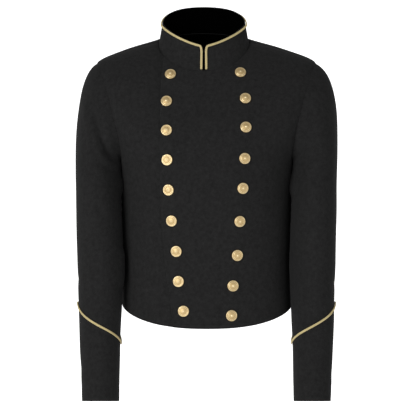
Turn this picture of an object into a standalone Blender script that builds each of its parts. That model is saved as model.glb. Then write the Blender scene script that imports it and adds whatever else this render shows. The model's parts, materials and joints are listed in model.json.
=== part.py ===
"""Short double-breasted wool jacket with a standing collar, gold cord trim and domed buttons.

Front faces -Y, +X is the wearer's left, +Z is up. The origin is midway between the sides of the neck.
Sizes are in millimetres and are turned into metres when a mesh is made. The body is a loft of tilted
girth lines: girth angle 0 is the +X side line, -90 the centre front, 90 the centre back, and `down` is
the distance along the side line from the neck.
"""

import math
from collections import namedtuple

import bpy
import numpy as np
from mathutils import Vector
from mathutils.bvhtree import BVHTree

MM = 0.001

WALL = 2.2
COLLAR_WALL = 3.0
SEAM_HALF = 0.2
LAY_GAP = 0.3
CORD_LIFT = 0.5

SIDE_ROWS = 10
SHOULDER_ROWS = 6
FRONT_COLUMNS = 20
BACK_COLUMNS = 24
SLEEVE_CAP_ROWS = 8
SLEEVE_COLUMNS = 24
COLLAR_COLUMNS = 44
COLLAR_ROWS = 4

COLLAR_GAP_HALF = 2.1
COLLAR_CORNER = 10.0
CORD_HALF_WIDTH = 2.5
CORD_HALF_THICKNESS = 1.3
CORD_SIDES = 8

BUTTON_RADIUS = 10.6
BUTTON_SIDES = 14

# One row for each girth line of the body, from the neck down.
Girth = namedtuple("Girth", "side_z half_width side_y front_y front_z back_y back_z front_round back_round centre_x")
BODY = (
    Girth(-6, 87, 0, -66, -62, 40, 16, 2.10, 2.10, -5),
    Girth(-9, 104, 0, -71, -73, 50, 4, 2.10, 2.10, -4),
    Girth(-25, 165, 0, -79, -92, 72, -30, 2.15, 2.15, -2),
    Girth(-46, 213, 0, -87, -112, 89, -75, 2.20, 2.20, 0),
    Girth(-78, 229, 1, -97, -136, 97, -100, 2.25, 2.25, 0),
    Girth(-112, 224, 2, -107, -162, 103, -128, 2.30, 2.30, 0),
    Girth(-150, 208, 3, -117, -193, 108, -160, 2.30, 2.30, 0),
    Girth(-190, 188, 4, -124, -227, 111, -195, 2.30, 2.30, 0),
    Girth(-228, 172, 5, -128, -258, 113, -230, 2.30, 2.30, 0),
    Girth(-260, 168, 6, -129, -286, 113, -262, 2.30, 2.30, 0),
    Girth(-310, 166.3, 6, -127, -330, 110, -312, 2.30, 2.30, 0),
    Girth(-370, 166, 6, -123, -386, 106, -372, 2.30, 2.30, 0),
    Girth(-430, 165.6, 6, -120, -446, 104, -433, 2.35, 2.30, 0.2),
    Girth(-480, 166, 6, -121, -502, 106, -486, 2.40, 2.30, 0.6),
    Girth(-514, 166.5, 6, -123, -550.5, 109, -524, 2.45, 2.30, 1.5),
)
TIP_ROW = 3
COLLAR_TOP = Girth(26, 80, -17, -60, -20, 27, 65, 1.75, 2.20, -5)

# The armhole seen from the side: an egg, narrower at the shoulder.
Armhole = namedtuple("Armhole", "top_z bottom_z front_reach back_reach narrowing")
ARMHOLE = Armhole(-46.0, -250.0, 74.0, 62.0, 0.20)
# How fast the armhole leaves the girth line at the shoulder's tip, so that no panel folds back there.
TIP_STEP = 0.02

# One row for each ring of a sleeve, for the wearer's left arm; centre_x is mirrored for the right.
Ring = namedtuple("Ring", "z centre_x centre_y half_width half_depth lean_out lean_front")
SLEEVE = (
    Ring(-262, 209.0, -28, 43.4, 70.0, 0.35, 0.00),
    Ring(-295, 207.7, -38, 43.3, 67.5, 0.25, 0.02),
    Ring(-328, 206.7, -43, 43.8, 65.0, 0.15, 0.04),
    Ring(-360, 205.8, -46, 44.0, 62.0, 0.08, 0.05),
    Ring(-392, 205.0, -48, 44.0, 59.5, 0.04, 0.07),
    Ring(-425, 204.2, -50, 44.0, 57.0, 0.02, 0.09),
    Ring(-460, 203.7, -52, 43.3, 54.5, 0.00, 0.10),
    Ring(-498, 203.6, -55, 42.2, 51.8, 0.00, 0.12),
    Ring(-536, 203.9, -58, 40.9, 49.5, 0.00, 0.13),
    Ring(-574, 204.1, -62, 39.3, 47.8, 0.00, 0.14),
    Ring(-612, 203.5, -67, 38.0, 46.2, 0.00, 0.14),
    Ring(-652, 202.7, -73, 36.7, 44.6, 0.00, 0.15),
    Ring(-694, 202.0, -79, 35.5, 43.0, 0.00, 0.16),
)
LEFT_HEAD_SWELL = 1.02
RIGHT_HEAD_SWELL = 0.80

# The edge of the front that laps over, and the hidden edge of the one under it, by height.
Edge = namedtuple("Edge", "z lap_x under_x")
EDGES = (
    Edge(-30, -79, 70),
    Edge(-60, -85, 74),
    Edge(-91, -87, 76),
    Edge(-177, -88, 74),
    Edge(-289, -87.5, 68),
    Edge(-330, -86, 65),
    Edge(-416, -79.5, 58),
    Edge(-457, -75, 54),
    Edge(-498, -68.5, 50),
    Edge(-549, -63, 48),
)
LAP_GAP = 0.9
LAP_DROP = WALL + LAP_GAP

# One row for each pair of buttons, from the collar down.
Pair = namedtuple("Pair", "right_x right_z left_x left_z")
BUTTONS = (
    Pair(-68.3, -73.0, 64.6, -69.5),
    Pair(-75.3, -124.7, 73.6, -119.4),
    Pair(-76.6, -177.4, 72.5, -171.8),
    Pair(-75.1, -232.9, 70.0, -230.3),
    Pair(-70.8, -291.5, 66.3, -286.0),
    Pair(-65.1, -349.5, 60.7, -348.1),
    Pair(-57.9, -404.4, 56.2, -412.1),
    Pair(-54.0, -461.2, 48.1, -469.5),
    Pair(-44.6, -517.0, 45.5, -525.4),
)
# The button's outline from its flat back to the top of its dome: distance from the axis, height.
BUTTON_OUTLINE = ((0.0, 0.0), (9.0, 0.0), (10.6, 1.5), (9.6, 3.2), (5.6, 5.0), (0.0, 5.8))

# The cord round a forearm: its height at the outer middle, and its fall for each unit of girth.
CUFF_CORD_PEAK_Z = -507.0
CUFF_CORD_FALL = 0.545

# One row for each trough or ridge: the side it is seen from, its ends there, its bow, half-width and
# depth, with a ridge's depth below zero.
Fold = namedtuple("Fold", "view u0 z0 u1 z1 bow width depth")
BODY_FOLDS = (
    Fold("front", -152, -370, -147, -500, 3, 11, 2.2),
    Fold("front", 150, -380, 147, -505, -3, 12, 1.8),
    Fold("front", -150, -255, -118, -330, 5, 14, 1.8),
    Fold("front", 152, -262, 120, -345, -5, 14, 1.6),
    Fold("back", -150, -215, -95, -330, 8, 16, 2.4),
    Fold("back", 150, -225, 100, -350, -8, 16, 2.2),
    Fold("back", -60, -395, 55, -402, 6, 16, 1.8),
    Fold("back", -20, -100, 15, -260, 4, 20, 1.6),
)
RIGHT_SLEEVE_FOLDS = (
    Fold("front", -208, -105, -168, -225, 9, 11, 5.0),
    Fold("front", -190, -225, -172, -262, 3, 9, 2.4),
    Fold("front", -214, -318, -178, -350, 3, 11, 2.6),
    Fold("front", -172, -395, -222, -430, 3, 12, 2.2),
    Fold("back", -196, -150, -174, -280, -8, 13, 4.0),
    Fold("back", -178, -385, -232, -410, 4, 13, 3.2),
    Fold("back", -180, -440, -228, -425, 3, 12, 2.4),
)
LEFT_SLEEVE_FOLDS = (
    Fold("front", 196, -140, 172, -250, -8, 12, 3.0),
    Fold("front", 172, -400, 224, -425, 3, 13, 1.8),
    Fold("front", 176, -590, 222, -604, 2, 11, 1.5),
    Fold("back", 198, -150, 176, -285, 8, 13, 4.0),
    Fold("back", 180, -392, 230, -412, 4, 13, 3.0),
    Fold("back", 180, -448, 226, -430, 3, 12, 2.2),
)

Finish = namedtuple("Finish", "name colour roughness metallic")
WOOL = Finish("black_wool", (0.018, 0.018, 0.018, 1.0), 0.95, 0.0)
GOLD_CORD = Finish("gold_cord", (0.50, 0.42, 0.20, 1.0), 0.45, 0.6)
BRASS = Finish("pale_brass", (0.72, 0.58, 0.32, 1.0), 0.28, 1.0)


def eased(values):
    """0 to 1 with level ends."""
    values = np.clip(values, 0.0, 1.0)
    return values * values * (3.0 - 2.0 * values)


def column(keys, values, at):
    """A smooth curve through a table's column that never swings past its rows."""
    keys = np.asarray(keys, float)
    values = np.asarray(values, float)
    spans = np.diff(keys)
    slopes = np.diff(values) / spans
    tangents = np.empty_like(values)
    tangents[0] = slopes[0]
    tangents[-1] = slopes[-1]
    before, after = slopes[:-1], slopes[1:]
    steady = before * after > 0
    safe_before = np.where(steady, before, 1.0)
    safe_after = np.where(steady, after, 1.0)
    w0 = 2 * spans[1:] + spans[:-1]
    w1 = spans[1:] + 2 * spans[:-1]
    tangents[1:-1] = np.where(steady, (w0 + w1) / (w0 / safe_before + w1 / safe_after), 0.0)
    at = np.asarray(at, float)
    row = np.clip(np.searchsorted(keys, at, side="right") - 1, 0, len(spans) - 1)
    t = (at - keys[row]) / spans[row]
    h = spans[row]
    return (
        values[row] * (1 + 2 * t) * (1 - t) ** 2
        + tangents[row] * h * t * (1 - t) ** 2
        + values[row + 1] * t * t * (3 - 2 * t)
        + tangents[row + 1] * h * t * t * (t - 1)
    )


def unit(vectors):
    """The vectors at length 1."""
    return vectors / np.maximum(np.linalg.norm(vectors, axis=-1, keepdims=True), 1e-12)


BODY_DOWN = np.concatenate(
    [[0.0], np.cumsum([math.hypot(b.half_width - a.half_width, b.side_z - a.side_z) for a, b in zip(BODY, BODY[1:])])]
)
HEM_DOWN = float(BODY_DOWN[-1])
TIP_DOWN = float(BODY_DOWN[TIP_ROW])


def girth_at(down):
    """The girth line at this distance down, as one Girth of arrays."""
    return Girth(*(column(BODY_DOWN, [row[i] for row in BODY], down) for i in range(len(Girth._fields))))


def on_girth(line, angle):
    """The points of a girth line at these angles, in radians."""
    c, s = np.cos(angle), np.sin(angle)
    front, back = line.side_y - line.front_y, line.back_y - line.side_y
    depth = np.where(s < 0, front, back)
    n = np.where(s < 0, line.front_round, line.back_round)
    reach = ((np.abs(c) / line.half_width) ** n + (np.abs(s) / depth) ** n) ** (-1.0 / n)
    dy = reach * s
    rise_front, rise_back = line.front_z - line.side_z, line.back_z - line.side_z
    bend = (rise_back / back + rise_front / front) / (front + back)
    tilt = rise_back / back - bend * back
    x = line.centre_x + reach * c
    y = line.side_y + dy
    z = line.side_z + tilt * dy + bend * dy * dy
    return np.stack(np.broadcast_arrays(x, y, z), axis=-1)


def plain_body(angle, down):
    """The body's outer face with no folds."""
    return on_girth(girth_at(down), angle)


def normals_of(surface, u, v, du, dv, v_low=None):
    """Unit normals of a surface, from small steps in its two directions."""
    v_before = v - dv if v_low is None else np.maximum(v - dv, v_low)
    along_u = surface(u + du, v) - surface(u - du, v)
    along_v = surface(u, v + dv) - surface(u, v_before)
    return unit(np.cross(along_u, along_v))


def fold_depth(points, normals, folds):
    """How far each point sinks along its normal in the troughs of a fold table."""
    depth = np.zeros(points.shape[:-1])
    for fold in folds:
        facing = -normals[..., 1] if fold.view == "front" else normals[..., 1]
        du, dz = fold.u1 - fold.u0, fold.z1 - fold.z0
        length = math.hypot(du, dz)
        ru, rz = points[..., 0] - fold.u0, points[..., 2] - fold.z0
        along = (ru * du + rz * dz) / length**2
        across = (ru * dz - rz * du) / length
        inside = np.clip(along, 0.0, 1.0)
        across = across - fold.bow * 4 * inside * (1 - inside)
        past = (along - inside) * length
        fade = eased(facing / 0.4) * eased(1.2 * np.sin(math.pi * np.clip(along, 0.02, 0.98)) + 0.1)
        depth += fold.depth * fade * np.exp(-(across**2 + past**2) / fold.width**2)
    return depth


def body(angle, down):
    """The cloth's outer face on the body, folds included."""
    down = np.clip(down, 0.0, HEM_DOWN)
    points = plain_body(angle, down)
    normals = -normals_of(plain_body, angle, down, 0.002, 0.5, 0.0)
    calm = eased((down - 20.0) / 60.0)
    return points - normals * (fold_depth(points, normals, BODY_FOLDS) * calm)[..., None]


def body_normals(angle, down):
    """Unit normals of the body, pointing out of the cloth."""
    return -normals_of(body, angle, down, 0.002, 0.5, 0.0)


def edge_x(z, field):
    """How far across a front edge stands at these heights."""
    keys = [-row.z for row in EDGES]
    return column(keys, [getattr(row, field) for row in EDGES], np.clip(-z, keys[0], keys[-1]))


def edge_angles(down, field):
    """The girth angle of a front edge at each distance down."""
    tries = np.radians(np.linspace(-178.0, -2.0, 353))
    found = []
    for each in np.atleast_1d(down):
        points = plain_body(tries, np.full(tries.shape, each))
        off = points[:, 0] - edge_x(points[:, 2], field)
        i = int(np.argmax(off > 0))
        share = off[i - 1] / (off[i - 1] - off[i])
        found.append(tries[i - 1] + share * (tries[i] - tries[i - 1]))
    return np.array(found)


def body_at_side(y, z, mirror):
    """The angle and distance down of the body's point at this depth and height, on one side."""
    downs = np.linspace(TIP_DOWN * 0.6, HEM_DOWN, 900)
    line = girth_at(downs)
    front, back = line.side_y - line.front_y, line.back_y - line.side_y
    rise_front, rise_back = line.front_z - line.side_z, line.back_z - line.side_z
    bend = (rise_back / back + rise_front / front) / (front + back)
    tilt = rise_back / back - bend * back
    dy = y - line.side_y
    heights = line.side_z + tilt * dy + bend * dy * dy
    down = float(np.interp(-z, -heights, downs))
    at = girth_at(down)
    dy = y - float(at.side_y)
    depth = float(at.side_y - at.front_y) if dy < 0 else float(at.back_y - at.side_y)
    n = float(at.front_round if dy < 0 else at.back_round)
    dx = float(at.half_width) * max(1.0 - (abs(dy) / depth) ** n, 0.0) ** (1.0 / n)
    return math.atan2(dy, -dx if mirror else dx), down


def armhole(mirror):
    """The armhole from its tip, down the front and up the back.

    Returns its angle and distance down at the sleeve's columns, then the fine line that they lie on:
    its length so far, its places, and the lengths at the columns.
    """
    turn = np.linspace(0.0, 2 * math.pi, 481)
    middle, half = (ARMHOLE.top_z + ARMHOLE.bottom_z) / 2, (ARMHOLE.top_z - ARMHOLE.bottom_z) / 2
    reach = np.where(np.sin(turn) >= 0, ARMHOLE.front_reach, ARMHOLE.back_reach)
    y = -reach * np.sin(turn) * (1 - ARMHOLE.narrowing * np.cos(turn)) + 2.5 * (1 - np.cos(turn))
    z = middle + half * np.cos(turn)
    place = np.array([body_at_side(a, b, mirror) for a, b in zip(y, z)])
    side = math.pi if mirror else 0.0
    place[:, 0] = side + (place[:, 0] - side + math.pi) % (2 * math.pi) - math.pi
    away = np.minimum(np.arange(len(place)), np.arange(len(place))[::-1])
    place[:, 1] = np.maximum(place[:, 1], TIP_DOWN + TIP_STEP * away)
    place[0] = place[-1] = (side, TIP_DOWN)
    points = plain_body(place[:, 0], place[:, 1])
    run = np.concatenate([[0.0], np.cumsum(np.linalg.norm(np.diff(points, axis=0), axis=1))])
    low = int(np.argmax(place[:, 1]))
    steps = SLEEVE_COLUMNS // 2
    stops = np.concatenate([np.linspace(0, run[low], steps + 1), np.linspace(run[low], run[-1], steps + 1)[1:]])
    return np.stack([np.interp(stops, run, place[:, i]) for i in (0, 1)], axis=-1), run, place, stops


def outer_side(hole, side):
    """Angle and distance down of a panel's outer side: side seam, armhole, then shoulder seam, hem first."""
    seam = np.linspace((side, HEM_DOWN), hole[0], SIDE_ROWS + 1)[:-1]
    shoulder = np.linspace((side, TIP_DOWN), (side, 0.0), SHOULDER_ROWS + 1)[1:]
    return np.concatenate([seam, hole, shoulder])


def panel_grid(one_side, other_side, columns):
    """Angles and distances down across a panel, each row along one girth line."""
    share = np.linspace(0.0, 1.0, columns + 1)[None, :]
    angles = one_side[:, :1] * (1 - share) + other_side[:, :1] * share
    downs = np.repeat(one_side[:, 1:], columns + 1, axis=1)
    return angles, downs


def inward(edge, beside, closed=False):
    """Unit steps from an edge's points toward the line beside it, square to the edge."""
    if closed:
        along = unit(np.roll(edge, -1, axis=0) - np.roll(edge, 1, axis=0))
    else:
        along = unit(np.gradient(edge, axis=0))
    step = beside - edge
    return unit(step - along * np.sum(step * along, axis=-1, keepdims=True))


def pulled_in(grid, amount, closed=False):
    """The grid with its outer rows and columns moved inward by the half gap of a seam."""
    result = grid.copy()
    result[0] += amount * inward(grid[0], grid[1], closed)
    result[-1] += amount * inward(grid[-1], grid[-2], closed)
    if not closed:
        result[:, 0] += amount * inward(grid[:, 0], grid[:, 1])
        result[:, -1] += amount * inward(grid[:, -1], grid[:, -2])
    return result


def material_of(finish):
    """The Principled material of a finish, made once."""
    material = bpy.data.materials.get(finish.name) or bpy.data.materials.new(finish.name)
    material.use_nodes = True
    shader = material.node_tree.nodes["Principled BSDF"]
    shader.inputs["Base Color"].default_value = finish.colour
    shader.inputs["Roughness"].default_value = finish.roughness
    shader.inputs["Metallic"].default_value = finish.metallic
    return material


def wall_object(name, outer, normals, thickness, finish, home, closed=False):
    """A cloth wall between an outer grid and the same grid moved inward along its normals.

    The walls are made so, and not with Solidify, because two pieces that meet at a seam must lean the
    same way there for their gap to stay even through the thickness.
    """
    inner = outer - normals * thickness
    rows, columns = outer.shape[:2]
    points = np.concatenate([outer.reshape(-1, 3), inner.reshape(-1, 3)]) * MM
    inside = rows * columns
    faces = []
    wraps = columns if closed else columns - 1
    for i in range(rows - 1):
        for j in range(wraps):
            k = (j + 1) % columns
            a, b, c, d = i * columns + j, i * columns + k, (i + 1) * columns + k, (i + 1) * columns + j
            faces.append((a, b, c, d))
            faces.append((inside + d, inside + c, inside + b, inside + a))
    for i in (0, rows - 1):
        for j in range(wraps):
            a, b = i * columns + j, i * columns + (j + 1) % columns
            quad = (a, inside + a, inside + b, b)
            faces.append(quad if i == 0 else quad[::-1])
    if not closed:
        for j in (0, columns - 1):
            for i in range(rows - 1):
                a, b = i * columns + j, (i + 1) * columns + j
                quad = (a, b, inside + b, inside + a)
                faces.append(quad if j == 0 else quad[::-1])
    mesh = bpy.data.meshes.new(name)
    mesh.from_pydata([tuple(p) for p in points], [], faces)
    mesh.update()
    if volume_of(mesh) < 0:
        mesh.flip_normals()
    mesh.shade_smooth()
    mesh.set_sharp_from_angle(angle=math.radians(40))
    mesh.materials.append(material_of(finish))
    result = bpy.data.objects.new(name, mesh)
    home.objects.link(result)
    return result


def volume_of(mesh):
    """The volume inside the mesh, below zero where its faces point inward."""
    mesh.calc_loop_triangles()
    corners = np.array([[mesh.vertices[i].co for i in t.vertices] for t in mesh.loop_triangles])
    return float(np.linalg.det(corners).sum() / 6)


def cord_object(name, points, normals, home, closed=False):
    """An oval cord through these points, lying flat on the face that the normals belong to.

    It is swept by hand because a bevelled curve is round, and its twist can't follow a cloth's face.
    """
    if closed:
        along = unit(np.roll(points, -1, axis=0) - np.roll(points, 1, axis=0))
    else:
        along = unit(np.gradient(points, axis=0))
    across = unit(np.cross(along, normals))
    lift = np.cross(across, along)
    turns = np.arange(CORD_SIDES) * 2 * math.pi / CORD_SIDES
    ring = (
        points[:, None]
        + across[:, None] * (CORD_HALF_WIDTH * np.cos(turns))[None, :, None]
        + lift[:, None] * (CORD_HALF_THICKNESS * np.sin(turns))[None, :, None]
    )
    count = len(points)
    faces = []
    for i in range(count if closed else count - 1):
        k = (i + 1) % count
        for j in range(CORD_SIDES):
            m = (j + 1) % CORD_SIDES
            corners = (i * CORD_SIDES + j, i * CORD_SIDES + m, k * CORD_SIDES + m, k * CORD_SIDES + j)
            faces.append(corners)
    if not closed:
        faces.append(tuple(range(CORD_SIDES))[::-1])
        faces.append(tuple((count - 1) * CORD_SIDES + j for j in range(CORD_SIDES)))
    mesh = bpy.data.meshes.new(name)
    mesh.from_pydata([tuple(p) for p in ring.reshape(-1, 3) * MM], [], faces)
    mesh.update()
    if volume_of(mesh) < 0:
        mesh.flip_normals()
    mesh.shade_smooth()
    mesh.set_sharp_from_angle(angle=math.radians(40))
    mesh.materials.append(material_of(GOLD_CORD))
    result = bpy.data.objects.new(name, mesh)
    home.objects.link(result)
    return result


def build_fronts(home):
    """Both fronts. Returns the outer points of the one that laps over, for its buttons."""
    half = SLEEVE_COLUMNS // 2
    over = None
    for name, field, mirror in (("front_left", "lap_x", False), ("front_right", "under_x", True)):
        side = -math.pi if mirror else 0.0
        hole = armhole(mirror)[0][half::-1].copy()
        if mirror:
            hole[:, 0] -= 2 * math.pi
        outer_edge = outer_side(hole, side)
        inner_edge = np.stack([edge_angles(outer_edge[:, 1], field), outer_edge[:, 1]], axis=-1)
        angles, downs = panel_grid(inner_edge, outer_edge, FRONT_COLUMNS)
        outer = body(angles, downs)
        normals = body_normals(angles, downs)
        if mirror:
            clear = outer[..., 0] - edge_x(outer[..., 2], "lap_x")
            ramp = np.clip(9 - 0.18 * (outer[..., 2] + 30), 9, 28)
            outer = outer - normals * (LAP_DROP * eased((clear + 4 + ramp) / ramp))[..., None]
        outer = pulled_in(outer, SEAM_HALF)
        wall_object(name, outer, normals, WALL, WOOL, home)
        if not mirror:
            over = outer
    return over


def build_back(home):
    """The back, from one side seam, armhole and shoulder seam to the other."""
    half = SLEEVE_COLUMNS // 2
    sides = [outer_side(armhole(mirror)[0][half:], side) for mirror, side in ((False, 0.0), (True, math.pi))]
    angles, downs = panel_grid(sides[0], sides[1], BACK_COLUMNS)
    outer = pulled_in(body(angles, downs), SEAM_HALF)
    wall_object("back", outer, body_normals(angles, downs), WALL, WOOL, home)


def sleeve_surface(mirror):
    """A function of turn (0 at the outer middle, front first) and row (0 at the armhole seam)."""
    _, run, place, stops = armhole(mirror)
    turns = np.linspace(0, 2 * math.pi, SLEEVE_COLUMNS + 1)
    sign = -1.0 if mirror else 1.0
    folds = RIGHT_SLEEVE_FOLDS if mirror else LEFT_SLEEVE_FOLDS
    swell = RIGHT_HEAD_SWELL if mirror else LEFT_HEAD_SWELL
    keys = np.arange(len(SLEEVE), dtype=float)

    def ring(turn, row):
        row = np.clip(row, 0.0, len(SLEEVE) - 1.0)
        at = Ring(*(column(keys, [r[i] for r in SLEEVE], row) for i in range(len(Ring._fields))))
        dx, dy = at.half_width * np.cos(turn), -at.half_depth * np.sin(turn)
        z = at.z + at.lean_out * dx - at.lean_front * dy
        return np.stack(np.broadcast_arrays(sign * (at.centre_x + dx), at.centre_y + dy, z), axis=-1)

    def seam(turn):
        turn = np.mod(turn, 2 * math.pi)
        along = np.interp(turn, turns, stops)
        angle, down = (np.interp(along, run, place[:, i]) for i in (0, 1))
        return body(angle, down)

    def plain(turn, row):
        """Rows 0 to SLEEVE_CAP_ROWS cross the sleeve head, and the rest follow the ring table."""
        start, end = seam(turn), ring(turn, 0.0)
        span = np.linalg.norm(end - start, axis=-1, keepdims=True)
        lift = -0.25 * (1 + np.cos(turn))
        away = unit(np.stack([np.full_like(turn, sign), -0.18 * np.sin(turn), lift], axis=-1))
        fall = unit(ring(turn, 0.6) - end)
        t = np.clip(row / SLEEVE_CAP_ROWS, 0.0, 1.0)[..., None]
        head = (
            start * (1 + 2 * t) * (1 - t) ** 2
            + away * span * swell * 0.8 * t * (1 - t) ** 2
            + end * t * t * (3 - 2 * t)
            + fall * span * swell * t * t * (t - 1)
        )
        tube = ring(turn, np.maximum(row - SLEEVE_CAP_ROWS, 0.0))
        return np.where(row[..., None] <= SLEEVE_CAP_ROWS, head, tube)

    def surface(turn, row):
        turn, row = np.broadcast_arrays(np.asarray(turn, float), np.asarray(row, float))
        row = np.clip(row, 0.0, SLEEVE_CAP_ROWS + len(SLEEVE) - 1.0)
        points = plain(turn, row)
        normals = sign * normals_of(plain, turn, row, 0.01, 0.02, 0.0)
        calm = eased(row / 2.5)
        return points - normals * (fold_depth(points, normals, folds) * calm)[..., None]

    return surface, sign


def build_sleeve(name, cord_name, mirror, home):
    """One sleeve, open at the armhole and the cuff, and the cord round its forearm."""
    surface, sign = sleeve_surface(mirror)
    turn = np.arange(SLEEVE_COLUMNS) * 2 * math.pi / SLEEVE_COLUMNS
    row = np.arange(SLEEVE_CAP_ROWS + len(SLEEVE), dtype=float)
    turns, rows = np.meshgrid(turn, row)
    outer = surface(turns, rows)
    normals = sign * normals_of(surface, turns, rows, 0.01, 0.02, 0.0)
    outer = pulled_in(outer, SEAM_HALF, closed=True)
    wall_object(name, outer, normals, WALL, WOOL, home, closed=True)
    build_cuff_cord(cord_name, outer, normals, home)


def build_cuff_cord(name, outer, normals, home):
    """The cord lies on the sleeve's own points, one cord point to each column."""
    low = outer[SLEEVE_CAP_ROWS:]
    lift = normals[SLEEVE_CAP_ROWS:]
    level = np.argmin(np.abs(low[:, 0, 2] - CUFF_CORD_PEAK_Z))
    steps = np.linalg.norm(np.roll(low[level], -1, axis=0) - low[level], axis=1)
    girth = np.concatenate([[0.0], np.cumsum(steps)[:-1]])
    whole = float(steps.sum())
    fall = np.minimum(girth, whole - girth)
    soft = 4.0
    heights = CUFF_CORD_PEAK_Z - CUFF_CORD_FALL * (np.sqrt(fall**2 + soft**2) - soft)
    points, faced = [], []
    for j in range(SLEEVE_COLUMNS):
        column_z = low[:, j, 2]
        i = int(np.argmax(column_z < heights[j])) - 1
        share = (column_z[i] - heights[j]) / (column_z[i] - column_z[i + 1])
        base = low[i, j] + share * (low[i + 1, j] - low[i, j])
        faced.append(unit(lift[i, j]))
        points.append(base + (CORD_HALF_THICKNESS + CORD_LIFT) * faced[-1])
    cord_object(name, np.array(points), np.array(faced), home, closed=True)


def build_collar(home):
    """The standing collar and the cord along its front and top edges."""
    low, high = BODY[0], COLLAR_TOP
    tries = np.linspace(-math.pi / 2, math.pi * 1.5, 2001)
    base = on_girth(low, tries)
    run = np.concatenate([[0.0], np.cumsum(np.linalg.norm(np.diff(base, axis=0), axis=1))])
    stops = np.linspace(COLLAR_GAP_HALF, run[-1] - COLLAR_GAP_HALF, COLLAR_COLUMNS + 1)
    near = COLLAR_CORNER * np.array([0.0, 0.12, 0.4, 1.0])
    stops = np.concatenate([stops[0] + near, stops[2:-2], (stops[-1] - near)[::-1]])
    angles = np.interp(stops, run, tries)
    from_end = np.minimum(stops - stops[0], stops[-1] - stops)
    inset = np.clip(COLLAR_CORNER - from_end, 0.0, COLLAR_CORNER)
    cut = COLLAR_CORNER - np.sqrt(COLLAR_CORNER**2 - inset**2)
    height = float(np.linalg.norm(on_girth(high, -math.pi / 2) - on_girth(low, -math.pi / 2)))
    share = 1.0 - cut / height

    def ruled(angle, rise):
        foot, head = on_girth(low, angle), on_girth(high, angle)
        return foot + rise[..., None] * (head - foot)

    rise, angle = np.meshgrid(np.linspace(0, 1, COLLAR_ROWS + 1), angles, indexing="ij")
    rise = rise * share[None, :]
    outer = ruled(angle, rise)
    slope_u = ruled(angle + 0.002, rise) - ruled(angle - 0.002, rise)
    slope_v = ruled(angle, rise + 0.01) - ruled(angle, rise - 0.01)
    normals = unit(np.cross(slope_u, slope_v))
    outer[0] += (2 * SEAM_HALF) * unit(outer[1] - outer[0])
    wall_object("collar", outer, normals, COLLAR_WALL, WOOL, home)

    lift = normals * (CORD_HALF_THICKNESS + CORD_LIFT)
    inset = CORD_HALF_WIDTH
    left_edge = outer[:, 0] + lift[:, 0] + inset * inward(outer[:, 0], outer[:, 1])
    right_edge = outer[:, -1] + lift[:, -1] + inset * inward(outer[:, -1], outer[:, -2])
    top_edge = outer[-1] + lift[-1] + inset * inward(outer[-1], outer[-2])
    for edge in (left_edge, right_edge):
        edge[0] += 1.2 * unit(edge[1] - edge[0])
    path = np.concatenate([left_edge[:-1], top_edge[2:-2], right_edge[-2::-1]])
    faced = np.concatenate([normals[:-1, 0], normals[-1, 2:-2], normals[-2::-1, -1]])
    cord_object("collar_piping", path, faced, home)


def build_buttons(panel, home):
    """Two columns of buttons, each on the panel's own face at its place, clear of it by the lay gap."""
    rows, columns = panel.shape[:2]
    faces = [
        (i * columns + j, i * columns + j + 1, (i + 1) * columns + j + 1, (i + 1) * columns + j)
        for i in range(rows - 1)
        for j in range(columns - 1)
    ]
    tree = BVHTree.FromPolygons([tuple(p) for p in panel.reshape(-1, 3)], faces)

    def face_at(x, z):
        hit = tree.ray_cast(Vector((x, -400.0, z)), Vector((0.0, 1.0, 0.0)))[0]
        return np.array(hit)

    for number, pair in enumerate(BUTTONS, start=1):
        for side, x, z in (("right", pair.right_x, pair.right_z), ("left", pair.left_x, pair.left_z)):
            r = BUTTON_RADIUS
            middle = face_at(x, z)
            ring = [face_at(x + r * math.cos(t), z + r * math.sin(t)) for t in np.arange(8) * math.pi / 4]
            normal = unit(np.cross(ring[0] - ring[4], ring[2] - ring[6]))
            normal = normal if normal[1] < 0 else -normal
            proud = max(float(np.dot(p - middle, normal)) for p in [middle, *ring])
            place = middle + normal * (max(proud, 0.0) + LAY_GAP)
            button_object(f"button_{side}_{number}", place, normal, home)


def button_object(name, place, normal, home):
    """A button turned about its axis, with its flat back at this place."""
    mesh = bpy.data.meshes.new(name)
    mesh.from_pydata([(a * MM, 0.0, b * MM) for a, b in BUTTON_OUTLINE], [(i, i + 1) for i in range(5)], [])
    mesh.materials.append(material_of(BRASS))
    result = bpy.data.objects.new(name, mesh)
    screw = result.modifiers.new("turned", "SCREW")
    screw.axis = "Z"
    screw.steps = BUTTON_SIDES
    screw.render_steps = BUTTON_SIDES
    screw.use_merge_vertices = True
    screw.merge_threshold = 0.00001
    screw.use_smooth_shade = True
    screw.use_normal_calculate = True
    result.location = tuple(place * MM)
    result.rotation_mode = "QUATERNION"
    result.rotation_quaternion = Vector(tuple(normal)).to_track_quat("Z", "Y")
    home.objects.link(result)
    return result


def main():
    for each in list(bpy.data.objects):
        bpy.data.objects.remove(each, do_unlink=True)
    home = bpy.data.collections.new("wool_jacket")
    bpy.context.scene.collection.children.link(home)
    lapped = build_fronts(home)
    build_back(home)
    build_sleeve("sleeve_left", "cuff_piping_left", False, home)
    build_sleeve("sleeve_right", "cuff_piping_right", True, home)
    build_collar(home)
    build_buttons(lapped, home)


main()
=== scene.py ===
"""Looks of a short black wool jacket with a standing collar, gold cord and domed brass buttons.

Sizes are in millimetres until a mesh is made. The front faces -Y, +X is the wearer's left and the
origin is between the sides of the neck. Girth angle 0 is the +X side line, -90 the centre front and
90 the centre back, and `down` is the distance along the side line from the neck.
"""

import json
import logging
import math
from dataclasses import dataclass, field, fields
from enum import Enum
from typing import Callable, Optional, Sequence

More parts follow.
